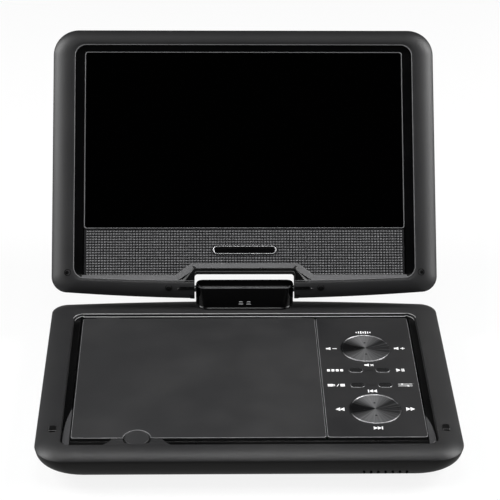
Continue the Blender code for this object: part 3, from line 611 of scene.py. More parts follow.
def printed(name, colour):
    """Screen-printed ink with slightly uneven cover, made to glow faintly with its own colour as painted light."""
    material, tree, shader = blank_material(name)
    place = tree.nodes.new("ShaderNodeTexCoord").outputs["Object"]
    cover = spread(tree, noise(tree, place, 1400.0, 2.0), 0.3, 0.6, 0.82, 1.0)
    shade = node(tree, "ShaderNodeHueSaturation", {"Value": cover, "Color": (*colour, 1.0)})
    tree.links.new(shade.outputs[0], shader.inputs["Base Color"])
    shader.inputs["Roughness"].default_value = 0.55
    # Painted light: the ink glows with its own colour though it is no lamp.
    tree.links.new(shade.outputs[0], shader.inputs["Emission Color"])
    shader.inputs["Emission Strength"].default_value = 0.35
    return material


# The lighter `edge` colours below are painted highlights, laid where a piece's `edge` attribute marks rounded edges
# or dot tops.
CASE = plastic("case_plastic", (0.017, 0.017, 0.0178), 0.46, grain=0.2, edge=(0.03, 0.03, 0.031))
LID = plastic("lid_plastic", (0.016, 0.016, 0.0168), 0.44, grain=0.2, edge=(0.04, 0.04, 0.041), dust=0.12)
BELLY = plastic("belly_plastic", (0.008, 0.0076, 0.0072), 0.40, grain=0.2, dust=0.1)
DOOR_SKIN = plastic("door_plastic", (0.024, 0.024, 0.025), 0.42, grain=0.1, edge=(0.20, 0.20, 0.205),
                    pitch=3400.0, dust=0.25, marks=0.06)
PANEL_SKIN = plastic("panel_plastic", (0.018, 0.018, 0.019), 0.34, grain=0.05, edge=(0.20, 0.20, 0.205),
                     pitch=3400.0, dust=0.25, marks=0.1)
GLOSS = plastic("gloss_plastic", (0.0012, 0.0012, 0.0013), 0.14, grain=0.02, dust=0.03, marks=0.12,
                edge=(0.16, 0.16, 0.165), specular=0.35)
# Near-black gloss: the hood's own colour, and painted shade as the strip on the channel floor.
LINER_AND_PAINTED_SHADE = plastic("liner_plastic_and_painted_shade", (0.0012, 0.0012, 0.0013), 0.24, grain=0.03, dust=0.05,
                marks=0.15, specular=0.3)
# Light grey: a painted highlight on the sloped strip under the grille; also used for the bars between keys.
TRIM_AND_PAINTED_HIGHLIGHT = plastic("trim_plastic_and_painted_highlight", (0.105, 0.105, 0.108), 0.34, grain=0.05, dust=0.05)
GRILLE = plastic("grille_plastic", (0.008, 0.008, 0.009), 0.38, grain=0.05, dust=0.0,
                 edge=(0.17, 0.17, 0.178))
GLASS = plastic("screen_glass", (0.0001, 0.0001, 0.0001), 0.04, grain=0.0, dust=0.0, swing=0.02, marks=0.03,
                specular=0.12)
# Light grey: the screen's cut edge, partly its own colour and partly a painted highlight, and a painted highlight
# round the lid rim's inner edge.
CUT_EDGE_AND_HIGHLIGHT = plastic("cut_edge_and_painted_highlight", (0.17, 0.17, 0.174), 0.3, grain=0.02, dust=0.0)
# Pale grey painted highlight for the thin lines along the rear of the base's rim.
PAINTED_LIP_HIGHLIGHT = plastic("painted_lip_highlight", (0.5, 0.5, 0.5), 0.3, grain=0.02, dust=0.0)
RUBBER = plastic("rubber", (0.005, 0.005, 0.005), 0.6, grain=0.3, pitch=1800.0, dust=0.15)
LINING = plastic("lining_plastic", (0.003, 0.003, 0.003), 0.7, grain=0.1, dust=0.0, specular=0.05)
LEDGE = plastic("ledge_plastic", (0.05, 0.05, 0.052), 0.3, grain=0.05, dust=0.1, edge=(0.2, 0.2, 0.205))
KEY = plastic("key_plastic", (0.014, 0.014, 0.0145), 0.22, grain=0.03, dust=0.05, edge=(0.34, 0.34, 0.35))
BUMPER = plastic("bumper_rubber", (0.004, 0.004, 0.004), 0.3, grain=0.1, dust=0.05)
CHROME = plastic("bright_trim", (0.55, 0.55, 0.56), 0.24, grain=0.03, dust=0.0, metallic=0.9, marks=0.1)
STEEL = plastic("plain_steel", (0.46, 0.46, 0.47), 0.34, grain=0.08, pitch=1500.0, dust=0.1, metallic=1.0,
                marks=0.15)
BOARD = plastic("solder_mask", (0.015, 0.10, 0.045), 0.35, grain=0.25, pitch=500.0, dust=0.2, marks=0.1)
SLEEVE = plastic("cell_sleeve", (0.03, 0.06, 0.15), 0.3, grain=0.08, pitch=300.0, dust=0.2, marks=0.15)
INK = printed("white_ink", (0.80, 0.80, 0.80))
FAINT_INK = printed("grey_ink", (0.42, 0.42, 0.43))


# ---------------------------------------------------------------- case

REACH = 0.86
INNER_DROP = 0.4
RISE_POWER = 0.82


def pillow(share):
    """Height of the rim above its outline: a steep rise that eases to the crown, a power of a
    parabola, then a slight parabolic drop to the inner edge."""
    rise = 1 - (1 - np.clip(share / REACH, 0, 1)) ** 2
    fall = np.clip((share - REACH) / (1 - REACH), 0, 1) ** 2
    return CROWN * rise ** RISE_POWER - INNER_DROP * fall


def rim_plan(share, inner, inner_radius, inner_bow, outset=0.0):
    """The outline a share of the way from the case's edge to the inner rectangle."""
    rect = np.array([-HALF_WIDTH, HALF_WIDTH, 0.0, DEPTH])
    mixed = rect + (np.array(inner) - rect) * share
    front = FRONT_RADIUS + (inner_radius - FRONT_RADIUS) * share
    rear = REAR_RADIUS + (inner_radius - REAR_RADIUS) * share
    bow = REAR_BOW + (inner_bow - REAR_BOW) * share
    return outline(shrunk(tuple(mixed), outset), front, rear, bow)


def rim_rings(inner, inner_radius, inner_bow, base_height, rows=26):
    """Rings over the pillow, packed towards the outer edge as the square of the row number."""
    shares = np.linspace(0, 1, rows) ** 1.8 * 0.965
    return [at(rim_plan(share, inner, inner_radius, inner_bow), base_height + pillow(share))
            for share in shares]


def stepped_wall(inner, top, steps):
    """Rings down the rim's inner wall: (move inwards, height) pairs with softened corners."""
    profile = rounded_profile([(-0.45, top), *steps], 0.35, 4)
    return [at(outline(shrunk(inner, inset), 6.0, 6.0), height) for inset, height in profile]


def base_rim():
    """The base's rim: plan loops from the channel's edge to the outer edge, raised by the pillow curve."""
    rings = [at(rim_plan(0.006, RIM_INNER, 6.0, 0.0), SPLIT)]
    rings += rim_rings(RIM_INNER, 6.0, 0.0, 0.0)
    edge = float(pillow(0.97))
    rings += stepped_wall(RIM_INNER, edge, [(0.1, edge - 0.05), (0.3, CHANNEL_FLOOR), (2.6, CHANNEL_FLOOR)])
    rings.append(at(outline(DECK_OPENING, 3.0, 3.0), CHANNEL_FLOOR))
    rings.append(at(outline(DECK_OPENING, 3.0, 3.0), -0.8))
    rings.append(at(rim_plan(0.9, RIM_INNER, 6.0, 0.0), -0.8))
    rings.append(at(rim_plan(0.8, RIM_INNER, 6.0, 0.0), 1.9))
    rings.append(at(rim_plan(0.3, RIM_INNER, 6.0, 0.0), 1.3))
    rings.append(at(rim_plan(0.12, RIM_INNER, 6.0, 0.0), SPLIT))
    mesh = loft("base_rim", rings, closed=True)
    button = case_centre("open_button")
    cutters = [
        new_mesh("well", *prism(circle(button[0], 19.3, 7.5), -4.0, 9.0)),
        new_mesh("shaft", *prism(circle(0.0, HINGE_Y, 3.6), -4.0, 9.0)),
    ]
    add_piece("base_rim", carve(mesh, cutters), "base", CASE, ["base_top_frame"])


def channel_painted_shade():
    """A near-black gloss strip laid on the channel's floor as painted shade, with a low rounded kerb beside the
    door and panel.
    """
    profile = rounded_profile([(0.45, CHANNEL_FLOOR - 0.2), (0.45, CHANNEL_FLOOR + 0.12),
                               (4.0, CHANNEL_FLOOR + 0.12),
                               (4.15, CHANNEL_FLOOR + 0.55), (4.6, CHANNEL_FLOOR + 0.55),
                               (4.6, CHANNEL_FLOOR - 0.2)], 0.15, 3)
    rings = []
    for inset, height in profile:
        share = (inset - 0.45) / 4.15
        rect = np.array(shrunk(RIM_INNER, 0.45)) * (1 - share) + np.array(shrunk(DECK_OPENING, -0.05)) * share
        rings.append(at(outline(tuple(rect), 5.6 - 2.8 * share, 5.6 - 2.8 * share), height))
    # The near-black strip is painted shade for the deep channel.
    add_piece("channel_painted_shade", loft("channel_painted_shade", rings, closed=True), "base", LINER_AND_PAINTED_SHADE)


def button_land():
    """The bridge in the front channel that carries the open button. Across it x runs between two slanted
    ends; back along it y runs from the rim's crown to the door's edge, or to the button's well; its height
    eases from the rim's to the door's by a cubic step. Outer rows and columns drop to the channel floor."""
    x_button = case_centre("open_button")[0]
    well = BUTTON_WELL
    front, rear = 8.6, 18.7
    across = np.linspace(0, 1, 81)
    back = np.linspace(0, 1, 29)
    x_front = -83.0 + across * 40.0
    x_rear = -77.0 + across * 28.0
    offset = np.clip(np.abs(x_rear - x_button), 0, well)
    y_rear = np.minimum(rear, 19.3 - np.sqrt(well ** 2 - offset ** 2))
    y = front + back[:, None] * (y_rear - front)
    lean = ((y - front) / (rear - front)).clip(0, 1)
    x = x_front * (1 - lean) + x_rear * lean
    share = np.clip(y / RIM_INNER[2], 0, 1)
    ease = np.clip((y - 9.0) / 8.0, 0, 1)
    ease = ease * ease * (3 - 2 * ease)
    z = (pillow(np.minimum(share, REACH)) + 0.03) * (1 - ease) + (PANEL_TOP - 0.15) * ease
    grid = np.stack([x, y, z], -1)

    def dropped(line, depth):
        fallen = line.copy()
        fallen[..., 2] = depth
        return fallen

    floor = CHANNEL_FLOOR - 0.6
    edge_row = grid[-1:] - np.array([0.0, 0.0, 0.18])
    grid[-1, :, 1] -= 0.15
    grid = np.concatenate([dropped(grid[:1], floor), grid, edge_row, dropped(edge_row, floor)])
    ends = [grid[:, :1] - np.array([0.15, 0.0, 0.2]), grid[:, -1:] + np.array([0.15, 0.0, -0.2])]
    grid = np.concatenate([dropped(ends[0], floor), ends[0], grid, ends[1], dropped(ends[1], floor)], 1)
    rows, count = grid.shape[:2]
    index = np.arange(rows * count).reshape(rows, count)
    quads = np.stack([index[:-1, :-1], index[:-1, 1:], index[1:, 1:], index[1:, :-1]], -1).reshape(-1, 4)
    ring = np.concatenate([index[0], index[1:, -1], index[-1, -2::-1], index[-2:0, 0]])
    mesh = new_mesh("button_land", grid.reshape(-1, 3), [quads, ring[::-1][None]])
    add_piece("button_land", mesh, "base", CASE)


def corner_ledges():
    """A lens-shaped shelf in each front corner of the channel: one side is the rounded corner of the
    channel, the other a parabola that runs back to a point beside the door or panel."""
    for side, name in ((-1, "corner_ledge_left"), (1, "corner_ledge_right")):
        turn = np.linspace(math.pi, 1.5 * math.pi, 13)
        reach = 32.0 if side < 0 else 24.0
        corner = np.stack([-101.0 + 3.7 * np.cos(turn), 17.2 + 3.7 * np.sin(turn)], 1)
        inner = np.array([(-100.7, 13.9), (-100.7, 17.2 + reach)])
        fall = np.linspace(0, 1, 12)[:-1]
        outer = np.stack([-100.7 - 4.0 * (1 - (1 - fall) ** 2) ** 0.8, 17.2 + reach * (1 - fall)], 1)[1:]
        loop = np.concatenate([corner, inner, outer]) * (side * -1, 1)
        loop = loop[::-1] if side > 0 else loop
        add_piece(name, plate(name, [loop], CHANNEL_FLOOR - 0.3, PANEL_TOP - 0.25, 0.3), "base", LEDGE)


def belly_plan(share, wall=0.0):
    """The belly's outline where its inset has reached a share of the whole."""
    inset = 0.3 + (BELLY_INSET - 0.3) * share
    rect = (-HALF_WIDTH + inset + wall, HALF_WIDTH - inset - wall, inset + wall,
            DEPTH - REAR_SHARE * inset - wall)
    return outline(rect, FRONT_RADIUS + 0.5 * inset - wall / 2,
                   REAR_RADIUS + 0.5 * inset - wall / 2, REAR_BOW)


def base_belly():
    """The lower shell. Its inset grows down the side as a rounded quarter curve, 1 - (1 - t^p)^(1/p)."""
    power = 1.9
    depth = 1 - (1 - np.linspace(0, 1, 30)) ** 1.6
    share = 1 - (1 - depth ** power) ** (1 / power)
    outer = [at(belly_plan(s), BELLY_TOP - BELLY_DEPTH * d) for s, d in zip(share, depth)]
    lip = [at(belly_plan(0.0, 0.35), BELLY_TOP + 0.0)]
    inner_share = np.linspace(0, 1, 9)[:-1]
    inner_depth = 1 - (1 - inner_share) ** 1.6
    curve = 1 - (1 - inner_depth ** power) ** (1 / power)
    inner = [at(belly_plan(s, WALL), BELLY_TOP - (BELLY_DEPTH - WALL) * d)
             for s, d in zip(curve, inner_depth)]
    mesh = loft("base_belly", inner[::-1] + lip + outer)
    cutters = []
    for name, grow in (("headphone_socket", 0.3), ("usb_socket", 0.3), ("card_slot", 0.3), ("dc_socket", 0.3),
                       ("power_switch", 0.3)):
        low, high = case_box(name)
        side = 1 if low[0] + high[0] > 0 else -1
        y, z = (low[1] + high[1]) / 2, (low[2] + high[2]) / 2
        half_y, half_z = (high[1] - low[1]) / 2 + grow, (high[2] - low[2]) / 2 + grow
        if name == "power_switch":
            y, half_y = y - 1.6, half_y + 2.0
        points, faces = prism(rectangle(side * (HALF_WIDTH - 1.0), y, 5.0, half_y), z - half_z, z + half_z)
        cutters.append(new_mesh(name, points, faces))
    for index in range(7):
        x = 62.0 + 4.0 * index
        slot = np.array([(x, -2.0), (x + 1.3, -2.0), (x + 3.4, 12.5), (x + 2.1, 12.5)])
        cutters.append(new_mesh("vent", *prism(slot, -13.9, -8.6)))
    for index in range(9):
        y = 60.0 + 6.0 * index
        for x in (-62.0, 20.0):
            cutters.append(new_mesh("under_vent", *prism(pill(x, y, 14.0, 1.1), -21.0, -15.0)))
    for row in ("front", "rear"):
        for side in ("left", "right"):
            x, y, _ = case_centre(f"case_screw_{row}_{side}")
            cutters.append(new_mesh("screw_well", *prism(circle(x, y, 3.0, 24), -21.0, -15.0)))
    add_piece("base_belly", carve(mesh, cutters), "base", BELLY, ["base_bottom_case"])


def key_pair_hole(first, second, slack=0.45, slit=0.8, points=48):
    """A clockwise hole for two keys and the slit between them. Outside the keys its half height over x is
    that of a stadium; between them it eases down to the slit's and up again by half a cosine wave."""
    half_long, half_wide = KEY_LONG + slack, KEY_WIDE + slack
    x_low, x_high = first[0] - half_long, second[0] + half_long
    y = (first[1] + second[1]) / 2
    x = (x_low + x_high) / 2 - np.cos(np.linspace(0, math.pi, points)) * (x_high - x_low) / 2
    near = np.minimum(np.abs(x - first[0]), np.abs(x - second[0]))
    beyond = np.clip(near - (half_long - half_wide), 0, half_wide)
    outside = np.sqrt(np.maximum(half_wide ** 2 - beyond ** 2, 0))
    ease = np.clip((near - 1.2) / (half_long + 0.6 - 1.2), 0, 1)
    inside = slit + (half_wide - slit) * (1 + np.cos(math.pi * ease)) / 2
    height = np.where((x > first[0]) & (x < second[0]), inside, outside)
    upper = np.stack([x, y + height], 1)
    lower = np.stack([x, y - height], 1)[::-1][1:-1]
    return np.concatenate([upper, lower])


def control_panel():
    """The glossy panel. The walls of two pad wells and two key recesses are there, but its flats run
    across them, so the pads and keys stand through a closed sheet."""
    loops = [outline(PANEL, 2.0, 2.0)]
    for pad in ("volume_pad", "playback_pad"):
        x, y, _ = case_centre(pad)
        loops.append(circle(x, y, PAD_WELL, 96, clockwise=True))
    for first, second in (("mode_key", "play_key"), ("source_key", "setup_key")):
        loops.append(key_pair_hole(case_centre(first), case_centre(second)))
    mesh = plate("panel_plate", loops, 0.3, PANEL_TOP, 0.45)
    # Painted highlight along the panel's rounded top edges and round its wells and key recesses.
    mark_painted_highlight(mesh, PANEL_TOP - 0.42, PANEL_TOP - 0.03)
    add_piece("panel_plate", mesh, "base", PANEL_SKIN, ["control_panel"])


def mark_painted_highlight(mesh, low, high):
    """Writes the `edge` attribute that places the painted highlight: 1 on points whose case-frame height is between
    low and high, else 0.
    """
    points = np.empty(len(mesh.vertices) * 3, np.float32)
    mesh.vertices.foreach_get("co", points)
    z = (points.reshape(-1, 3)[:, 2] - CASE_ORIGIN[2]) / MM
    values = ((z > low) & (z < high)).astype(np.float32)
    attribute = mesh.attributes.new("edge", "FLOAT", "POINT")
    attribute.data.foreach_set("value", values)


def disc_door():
    """The door's plate, with a half-round notch in its front edge for the open button."""
    x_button = case_centre("open_button")[0]
    radius = DOOR_NOTCH
    turn = np.linspace(math.pi, 0, 33)
    notch = np.stack([x_button + radius * np.cos(turn), DOOR[2] + radius * np.sin(turn)], 1)
    whole = outline(DOOR, 2.0, 2.0)
    loop = np.concatenate([whole, notch])
    mesh = plate("door_plate", [loop], 0.7, PANEL_TOP, 0.4)
    # Painted highlight along the door's rounded top edge.
    mark_painted_highlight(mesh, PANEL_TOP - 0.38, PANEL_TOP - 0.03)
    add_piece("door_plate", mesh, "disc_door", DOOR_SKIN, ["disc_door"])
    axis = (np.array(joints["disc_door_hinge"]["pos_m"]) - CASE_ORIGIN) / MM
    for side, name in (("left", "door_hinge_pin_left"), ("right", "door_hinge_pin_right")):
        x = case_centre(name)[0]
        barrel = rounded_profile([(1.1, -4.0), (1.6, -4.0), (1.6, 4.0), (1.1, 4.0)], 0.25, 3)
        knuckle = turned(f"door_knuckle_{side}", (x, axis[1], axis[2]), barrel, "X", 24, closed=True)
        add_piece(f"door_knuckle_{side}", knuckle, "disc_door", DOOR_SKIN)
    tab = outline((x_button + 11.0, x_button + 17.0, DOOR[2] + 0.7, DOOR[2] + 2.1), 0.4, 0.4)
    catch = loft("door_catch_tab", [at(moved_in(tab, 0.3), -1.5), at(tab, -1.1), at(tab, 0.75)])
    add_piece("door_catch_tab", catch, "disc_door", DOOR_SKIN)


def open_button():
    """A round cap, dished by a shallow parabola inside a rounded lip, on its stem."""
    x, y, _ = case_centre("open_button")
    lip = rounded_profile([(3.2, -7.0), (3.2, 1.3), (7.0, 1.4), (7.0, 2.45),
                           (6.85, 2.6), (6.62, 2.58), (6.5, 2.35)], 0.12, 4)
    radius = np.linspace(6.4, 0.15, 14)
    dish = np.stack([radius, 2.33 - 0.18 * (1 - (radius / 6.5) ** 2)], 1)
    mesh = turned("open_button_cap", (x, y, 0.0), np.concatenate([lip, dish]), sides=72)
    add_piece("open_button_cap", mesh, "open_button", DOOR_SKIN, ["open_button"])


def rocker_pads():
    """Each pad: a rounded bright rim, a groove, and a face that rises to a low central boss, with four
    shallow thumb marks pressed in by a sunken bell curve."""
    for name in ("volume_pad", "playback_pad"):
        x, y, _ = case_centre(name)
        rim = rounded_profile([(14.4, 0.5), (15.0, 0.8), (15.0, 2.7), (14.3, 3.0), (13.9, 2.7)], 0.3, 5)
        radius = np.linspace(13.6, 0.2, 44)
        face = np.stack([radius, 2.72 - 0.25 * np.sin(math.pi * radius / 13.9) ** 2], 1)
        profile = np.concatenate([rim, face])
        turn = np.linspace(0, 2 * math.pi, 120, endpoint=False)
        px = x + profile[:, :1] * np.cos(turn)
        py = y + profile[:, :1] * np.sin(turn)
        pz = np.repeat(profile[:, 1:], len(turn), 1)
        for angle in np.arange(4) * math.pi / 2:
            away = (px - x - MARK_REACH * math.cos(angle)) ** 2 + (py - y - MARK_REACH * math.sin(angle)) ** 2
            pz = pz - 0.22 * np.exp(-away / 0.35) * (profile[:, :1] < 13.5)
        grid = np.stack([px, py, pz], -1)
        mesh = loft(name, list(grid))
        finish = spun_metal(f"spun_{name}", in_case((x, y, 0.0)))
        add_piece(f"{name}_cap", mesh, name, finish, [name])


def small_keys():
    """Each key is a stadium whose rings step in over a rounded shoulder to a slightly crowned top."""
    profile = rounded_profile([(0.0, -1.4), (0.0, 1.9), (0.5, 2.6), (1.5, 2.95), (2.6, 3.05)], 0.45, 5)
    for name in ("mode_key", "play_key", "source_key", "setup_key"):
        x, y, _ = case_centre(name)
        rings = [at(pill(x, y, KEY_LONG - inset, KEY_WIDE - inset), height) for inset, height in profile]
        mesh = loft(name, rings)
        # Painted highlight on the keys' rounded shoulders.
        mark_painted_highlight(mesh, 1.95, 2.5)
        add_piece(f"{name}_cap", mesh, name, KEY, [name])
    for first, second in (("mode_key", "play_key"), ("source_key", "setup_key")):
        a, b = case_centre(first), case_centre(second)
        middle = (a + b) / 2
        bar = outline((a[0] + 4.7, b[0] - 4.7, middle[1] - 0.32, middle[1] + 0.32), 0.3, 0.3)
        profile = [(0.0, 0.6), (0.0, 2.15), (0.12, 2.3)]
        rings = [at(moved_in(bar, inset), height) for inset, height in profile]
        add_piece(f"key_bridge_{first}", loft("key_bridge", rings), "base", TRIM_AND_PAINTED_HIGHLIGHT)


# ---------------------------------------------------------------- printed marks

def triangle(x, y, half, direction):
    """A triangle pointing along +x or -x."""
    return np.array([(x + direction * half, y), (x - direction * half, y + 1.35 * half),
                     (x - direction * half, y - 1.35 * half)])


def glyphs(kind):
    """Generic control marks as polygons about the origin, in millimetres."""
    bar = rectangle
    speaker = [bar(-2.6, 0, 0.6, 0.7), np.array([(-2.0, -0.7), (-0.5, -1.5), (-0.5, 1.5), (-2.0, 0.7)])]
    cross = [soft_bar(1.3, 0, 1.3, 0.22, turn) for turn in (0.8, -0.8)]
    marks = {
        "back": [triangle(-1.25, 0, 1.3, -1), triangle(1.25, 0, 1.3, -1)],
        "forward": [triangle(-1.25, 0, 1.3, 1), triangle(1.25, 0, 1.3, 1)],
        "previous": [bar(-2.5, 0, 0.3, 1.5), triangle(-1.0, 0, 1.15, -1), triangle(1.3, 0, 1.15, -1)],
        "next": [triangle(-1.3, 0, 1.15, 1), triangle(1.0, 0, 1.15, 1), bar(2.5, 0, 0.3, 1.5)],
        "play": [triangle(-1.2, 0, 1.3, 1), bar(0.9, 0, 0.3, 1.5), bar(1.9, 0, 0.3, 1.5)],
        "minus": speaker + [bar(2.0, 0, 1.3, 0.3)],
        "plus": speaker + [bar(2.0, 0, 1.3, 0.3), bar(2.0, 0, 0.28, 1.2)],
        "levels": [bar(-4.2 + 1.4 * i, 0, 0.36, (0.6, 1.1, 1.5, 0.9, 1.4, 1.1, 0.6)[i]) for i in range(7)],
        "mute": speaker + cross,
        "mode": [bar(-3.9 + 2.6 * i, 0, 0.85, 1.15) for i in range(4)],
        "card": [bar(-3.4, 0, 1.6, 1.2), bar(-1.2, 0.6, 0.5, 0.3), bar(-1.2, -0.6, 0.5, 0.3),
                 soft_bar(1.0, 0, 1.5, 0.2, 1.1), bar(3.7, 0, 1.3, 1.3)],
        "sliders": [bar(0, 0.95, 4.2, 0.2), bar(0, -0.95, 4.2, 0.2), bar(-1.8, 0.95, 0.55, 0.6),
                    bar(1.6, -0.95, 0.55, 0.6)],
    }
    return marks[kind]


def soft_bar(x, y, half_x, half_y, turn):
    """A bar turned about its own centre."""
    flat = rectangle(0.0, 0.0, half_x, half_y)
    spin = np.array([(math.cos(turn), math.sin(turn)), (-math.sin(turn), math.cos(turn))])
    return flat @ spin + (x, y)


def control_marks():
    """Thin ink prisms beside each pad and key, all in one mesh."""
    volume, playback = case_centre("volume_pad"), case_centre("playback_pad")
    keys = {name: case_centre(name) for name in ("mode_key", "play_key", "source_key", "setup_key")}
    places = [
        ("levels", volume + (0, 18.2, 0)), ("mute", volume + (1.2, -18.3, 0)),
        ("minus", volume + (-20.6, 0, 0)),
        ("plus", volume + (20.5, 0, 0)), ("previous", playback + (0, 18.6, 0)),
        ("next", playback + (0, -18.8, 0)),
        ("back", playback + (-20.3, 0, 0)), ("forward", playback + (20.3, 0, 0)),
        ("mode", keys["mode_key"] + (-12.4, 0, 0)), ("play", keys["play_key"] + (10.6, 0, 0)),
        ("card", keys["source_key"] + (-12.6, 0, 0)), ("sliders", keys["setup_key"] + (11.8, 0, 0)),
    ]
    low, high = PANEL_TOP + 0.01, PANEL_TOP + 0.05
    by_corners = {}
    points, start = [], 0
    for kind, centre in places:
        for loop in glyphs(kind):
            area = np.cross(np.append(loop[1] - loop[0], 0), np.append(loop[2] - loop[1], 0))[2]
            loop = (loop if area > 0 else loop[::-1]) + centre[:2]
            corners, faces = prism(loop, low, high)
            points.append(corners)
            for face in faces:
                by_corners.setdefault(face.shape[1], []).append(face + start)
            start += len(corners)
    face_sets = [np.concatenate(sets) for sets in by_corners.values()]
    mesh = new_mesh("control_marks", np.concatenate(points), face_sets)
    add_piece("control_marks", mesh, "base", INK, weighted=False)


# ---------------------------------------------------------------- small parts of the case

def bumpers_and_feet():
    """Bumpers are rounded rectangles whose loops step in as they rise. Feet are profiles turned about Z."""
    profile = rounded_profile([(0.0, 2.4), (0.0, 4.3), (0.5, 4.75), (1.3, 4.8)], 0.4, 4)
    for name in ("lid_bumper_left", "lid_bumper_right"):
        x, y, _ = case_centre(name)
        block = (x - 2.2, x + 2.2, y - 2.9, y + 2.9)
        rings = [at(outline(shrunk(block, inset), 1.3 - inset / 2, 1.3 - inset / 2), height)
                 for inset, height in profile]
        add_piece(f"{name}_cap", loft(name, rings), "base", BUMPER, [name])
    for row in ("front", "rear"):
        for side in ("left", "right"):
            name = f"foot_{row}_{side}"
            low, high = case_box(name)
            x, y = (low[:2] + high[:2]) / 2
            profile = rounded_profile([(3.2, low[2] + 0.35), (3.6, low[2] + 0.3), (4.2, low[2]),
                                       (5.4, low[2]),
                                       (6.0, low[2] + 0.6), (6.0, high[2])], 0.3, 4)
            add_piece(f"{name}_pad", turned(name, (x, y, 0.0), profile, sides=56), "base", RUBBER, [name])


def port_details():
    """The metal ring of the headphone jack, the tongue and contacts of the USB port and the power pin."""
    low, high = case_box("headphone_socket")
    y, z = (low[1] + high[1]) / 2, (low[2] + high[2]) / 2
    ring = rounded_profile([(1.95, -0.3), (2.9, -0.3), (2.9, 0.35), (1.95, 0.35)], 0.2, 3)
    mesh = turned("headphone_ring", (high[0] + 0.02, y, z), ring, "X", 40, closed=True)
    add_piece("headphone_ring", mesh, "base", CHROME)
    low, high = case_box("usb_socket")
    y, z = (low[1] + high[1]) / 2, (low[2] + high[2]) / 2
    tongue = outline((low[0] + 1.0, high[0] - 0.8, y - 5.4, y + 5.4), 0.5, 0.5)
    add_piece("usb_tongue", loft("usb_tongue", [at(tongue, z + 0.2), at(tongue, z + 2.0)]), "base", RUBBER)
    for index in range(4):
        contact = rectangle((low[0] + high[0]) / 2 + 2.0, y - 3.6 + 2.4 * index, 4.0, 0.55)
        points, faces = prism(contact, z + 0.05, z + 0.19)
        add_piece(f"usb_contact_{index + 1}", new_mesh("usb_contact", points, faces), "base", CHROME)
    low, high = case_box("dc_socket")
    y, z = (low[1] + high[1]) / 2, (low[2] + high[2]) / 2
    pin = [(0.75, 0.0), (0.75, -6.5), (0.6, -7.0), (0.2, -7.2)]
    mesh = turned("dc_pin", (low[0] + 7.4, y, z), pin, "X", 20)
    add_piece("dc_pin", mesh, "base", CHROME)


def power_switch():
    """A sliding cap with a rounded edge and five grip ribs: its outer face is a cosine ripple over y."""
    low, high = case_box("power_switch")
    y = np.linspace(low[1], high[1], 61)
    ripple = 0.22 * np.cos(2 * math.pi * 5 * (y - low[1]) / (high[1] - low[1])) - 0.22
    level = np.linspace(0, math.pi, 13)
    z = (low[2] + high[2]) / 2 - np.cos(level) * (high[2] - low[2]) / 2
    swell = 0.5 * (np.sin(level) ** 0.3 - 1)
    x = low[0] - ripple[:, None] * np.sin(level) ** 0.3 - swell
    front = np.stack([x, np.repeat(y[:, None], len(z), 1), np.repeat(z[None], len(y), 0)], -1)
    rings = []
    for row in front:
        back = row[::-1].copy()
        back[:, 0] = high[0]
        rings.append(np.concatenate([row, back]))
    add_piece("power_switch_cap", loft("power_switch_cap", rings), "power_switch", CASE, ["power_switch"])


def disc_drive_details():
    """Three sprung claws round the spindle boss and the glass of the pickup."""
    hub_low, hub_high = case_box("spindle_hub")
    x, y = (hub_low[:2] + hub_high[:2]) / 2
    for index in range(3):
        angle = math.pi / 2 + index * 2 * math.pi / 3
        place = (x + 6.6 * math.cos(angle), y + 6.6 * math.sin(angle), -3.2)
        bead = np.linspace(-1.45, 1.45, 12)
        profile = np.stack([0.95 * np.cos(bead), 0.95 * np.sin(bead)], 1)
        add_piece(f"hub_claw_{index + 1}", turned("hub_claw", place, profile, sides=20), "spindle", CHROME)
    low, high = case_box("pickup_sled")
    dome = np.linspace(0, 1.35, 9)
    profile = np.concatenate([[(2.6, -0.25)], np.stack([2.6 * np.cos(dome), 0.9 * np.sin(dome)], 1)])
    centre = ((low[0] + high[0]) / 2, (low[1] + high[1]) / 2, high[2] + 0.28)
    add_piece("pickup_lens", turned("pickup_lens", centre, profile, sides=40), "pickup", GLASS)


# ---------------------------------------------------------------- hinge block

BLOCK_FRONT = ((-9.2, -10.4), (-8.7, -10.4), (-8.2, -9.4), (-5.8, -8.6), (3.8, -6.1),
               (4.7, -5.4), (4.95, -4.6))
BLOCK_REAR = ((-9.2, 7.0), (-3.0, 6.2), (1.4, 5.6), (4.0, 4.2), (5.1, 2.0))


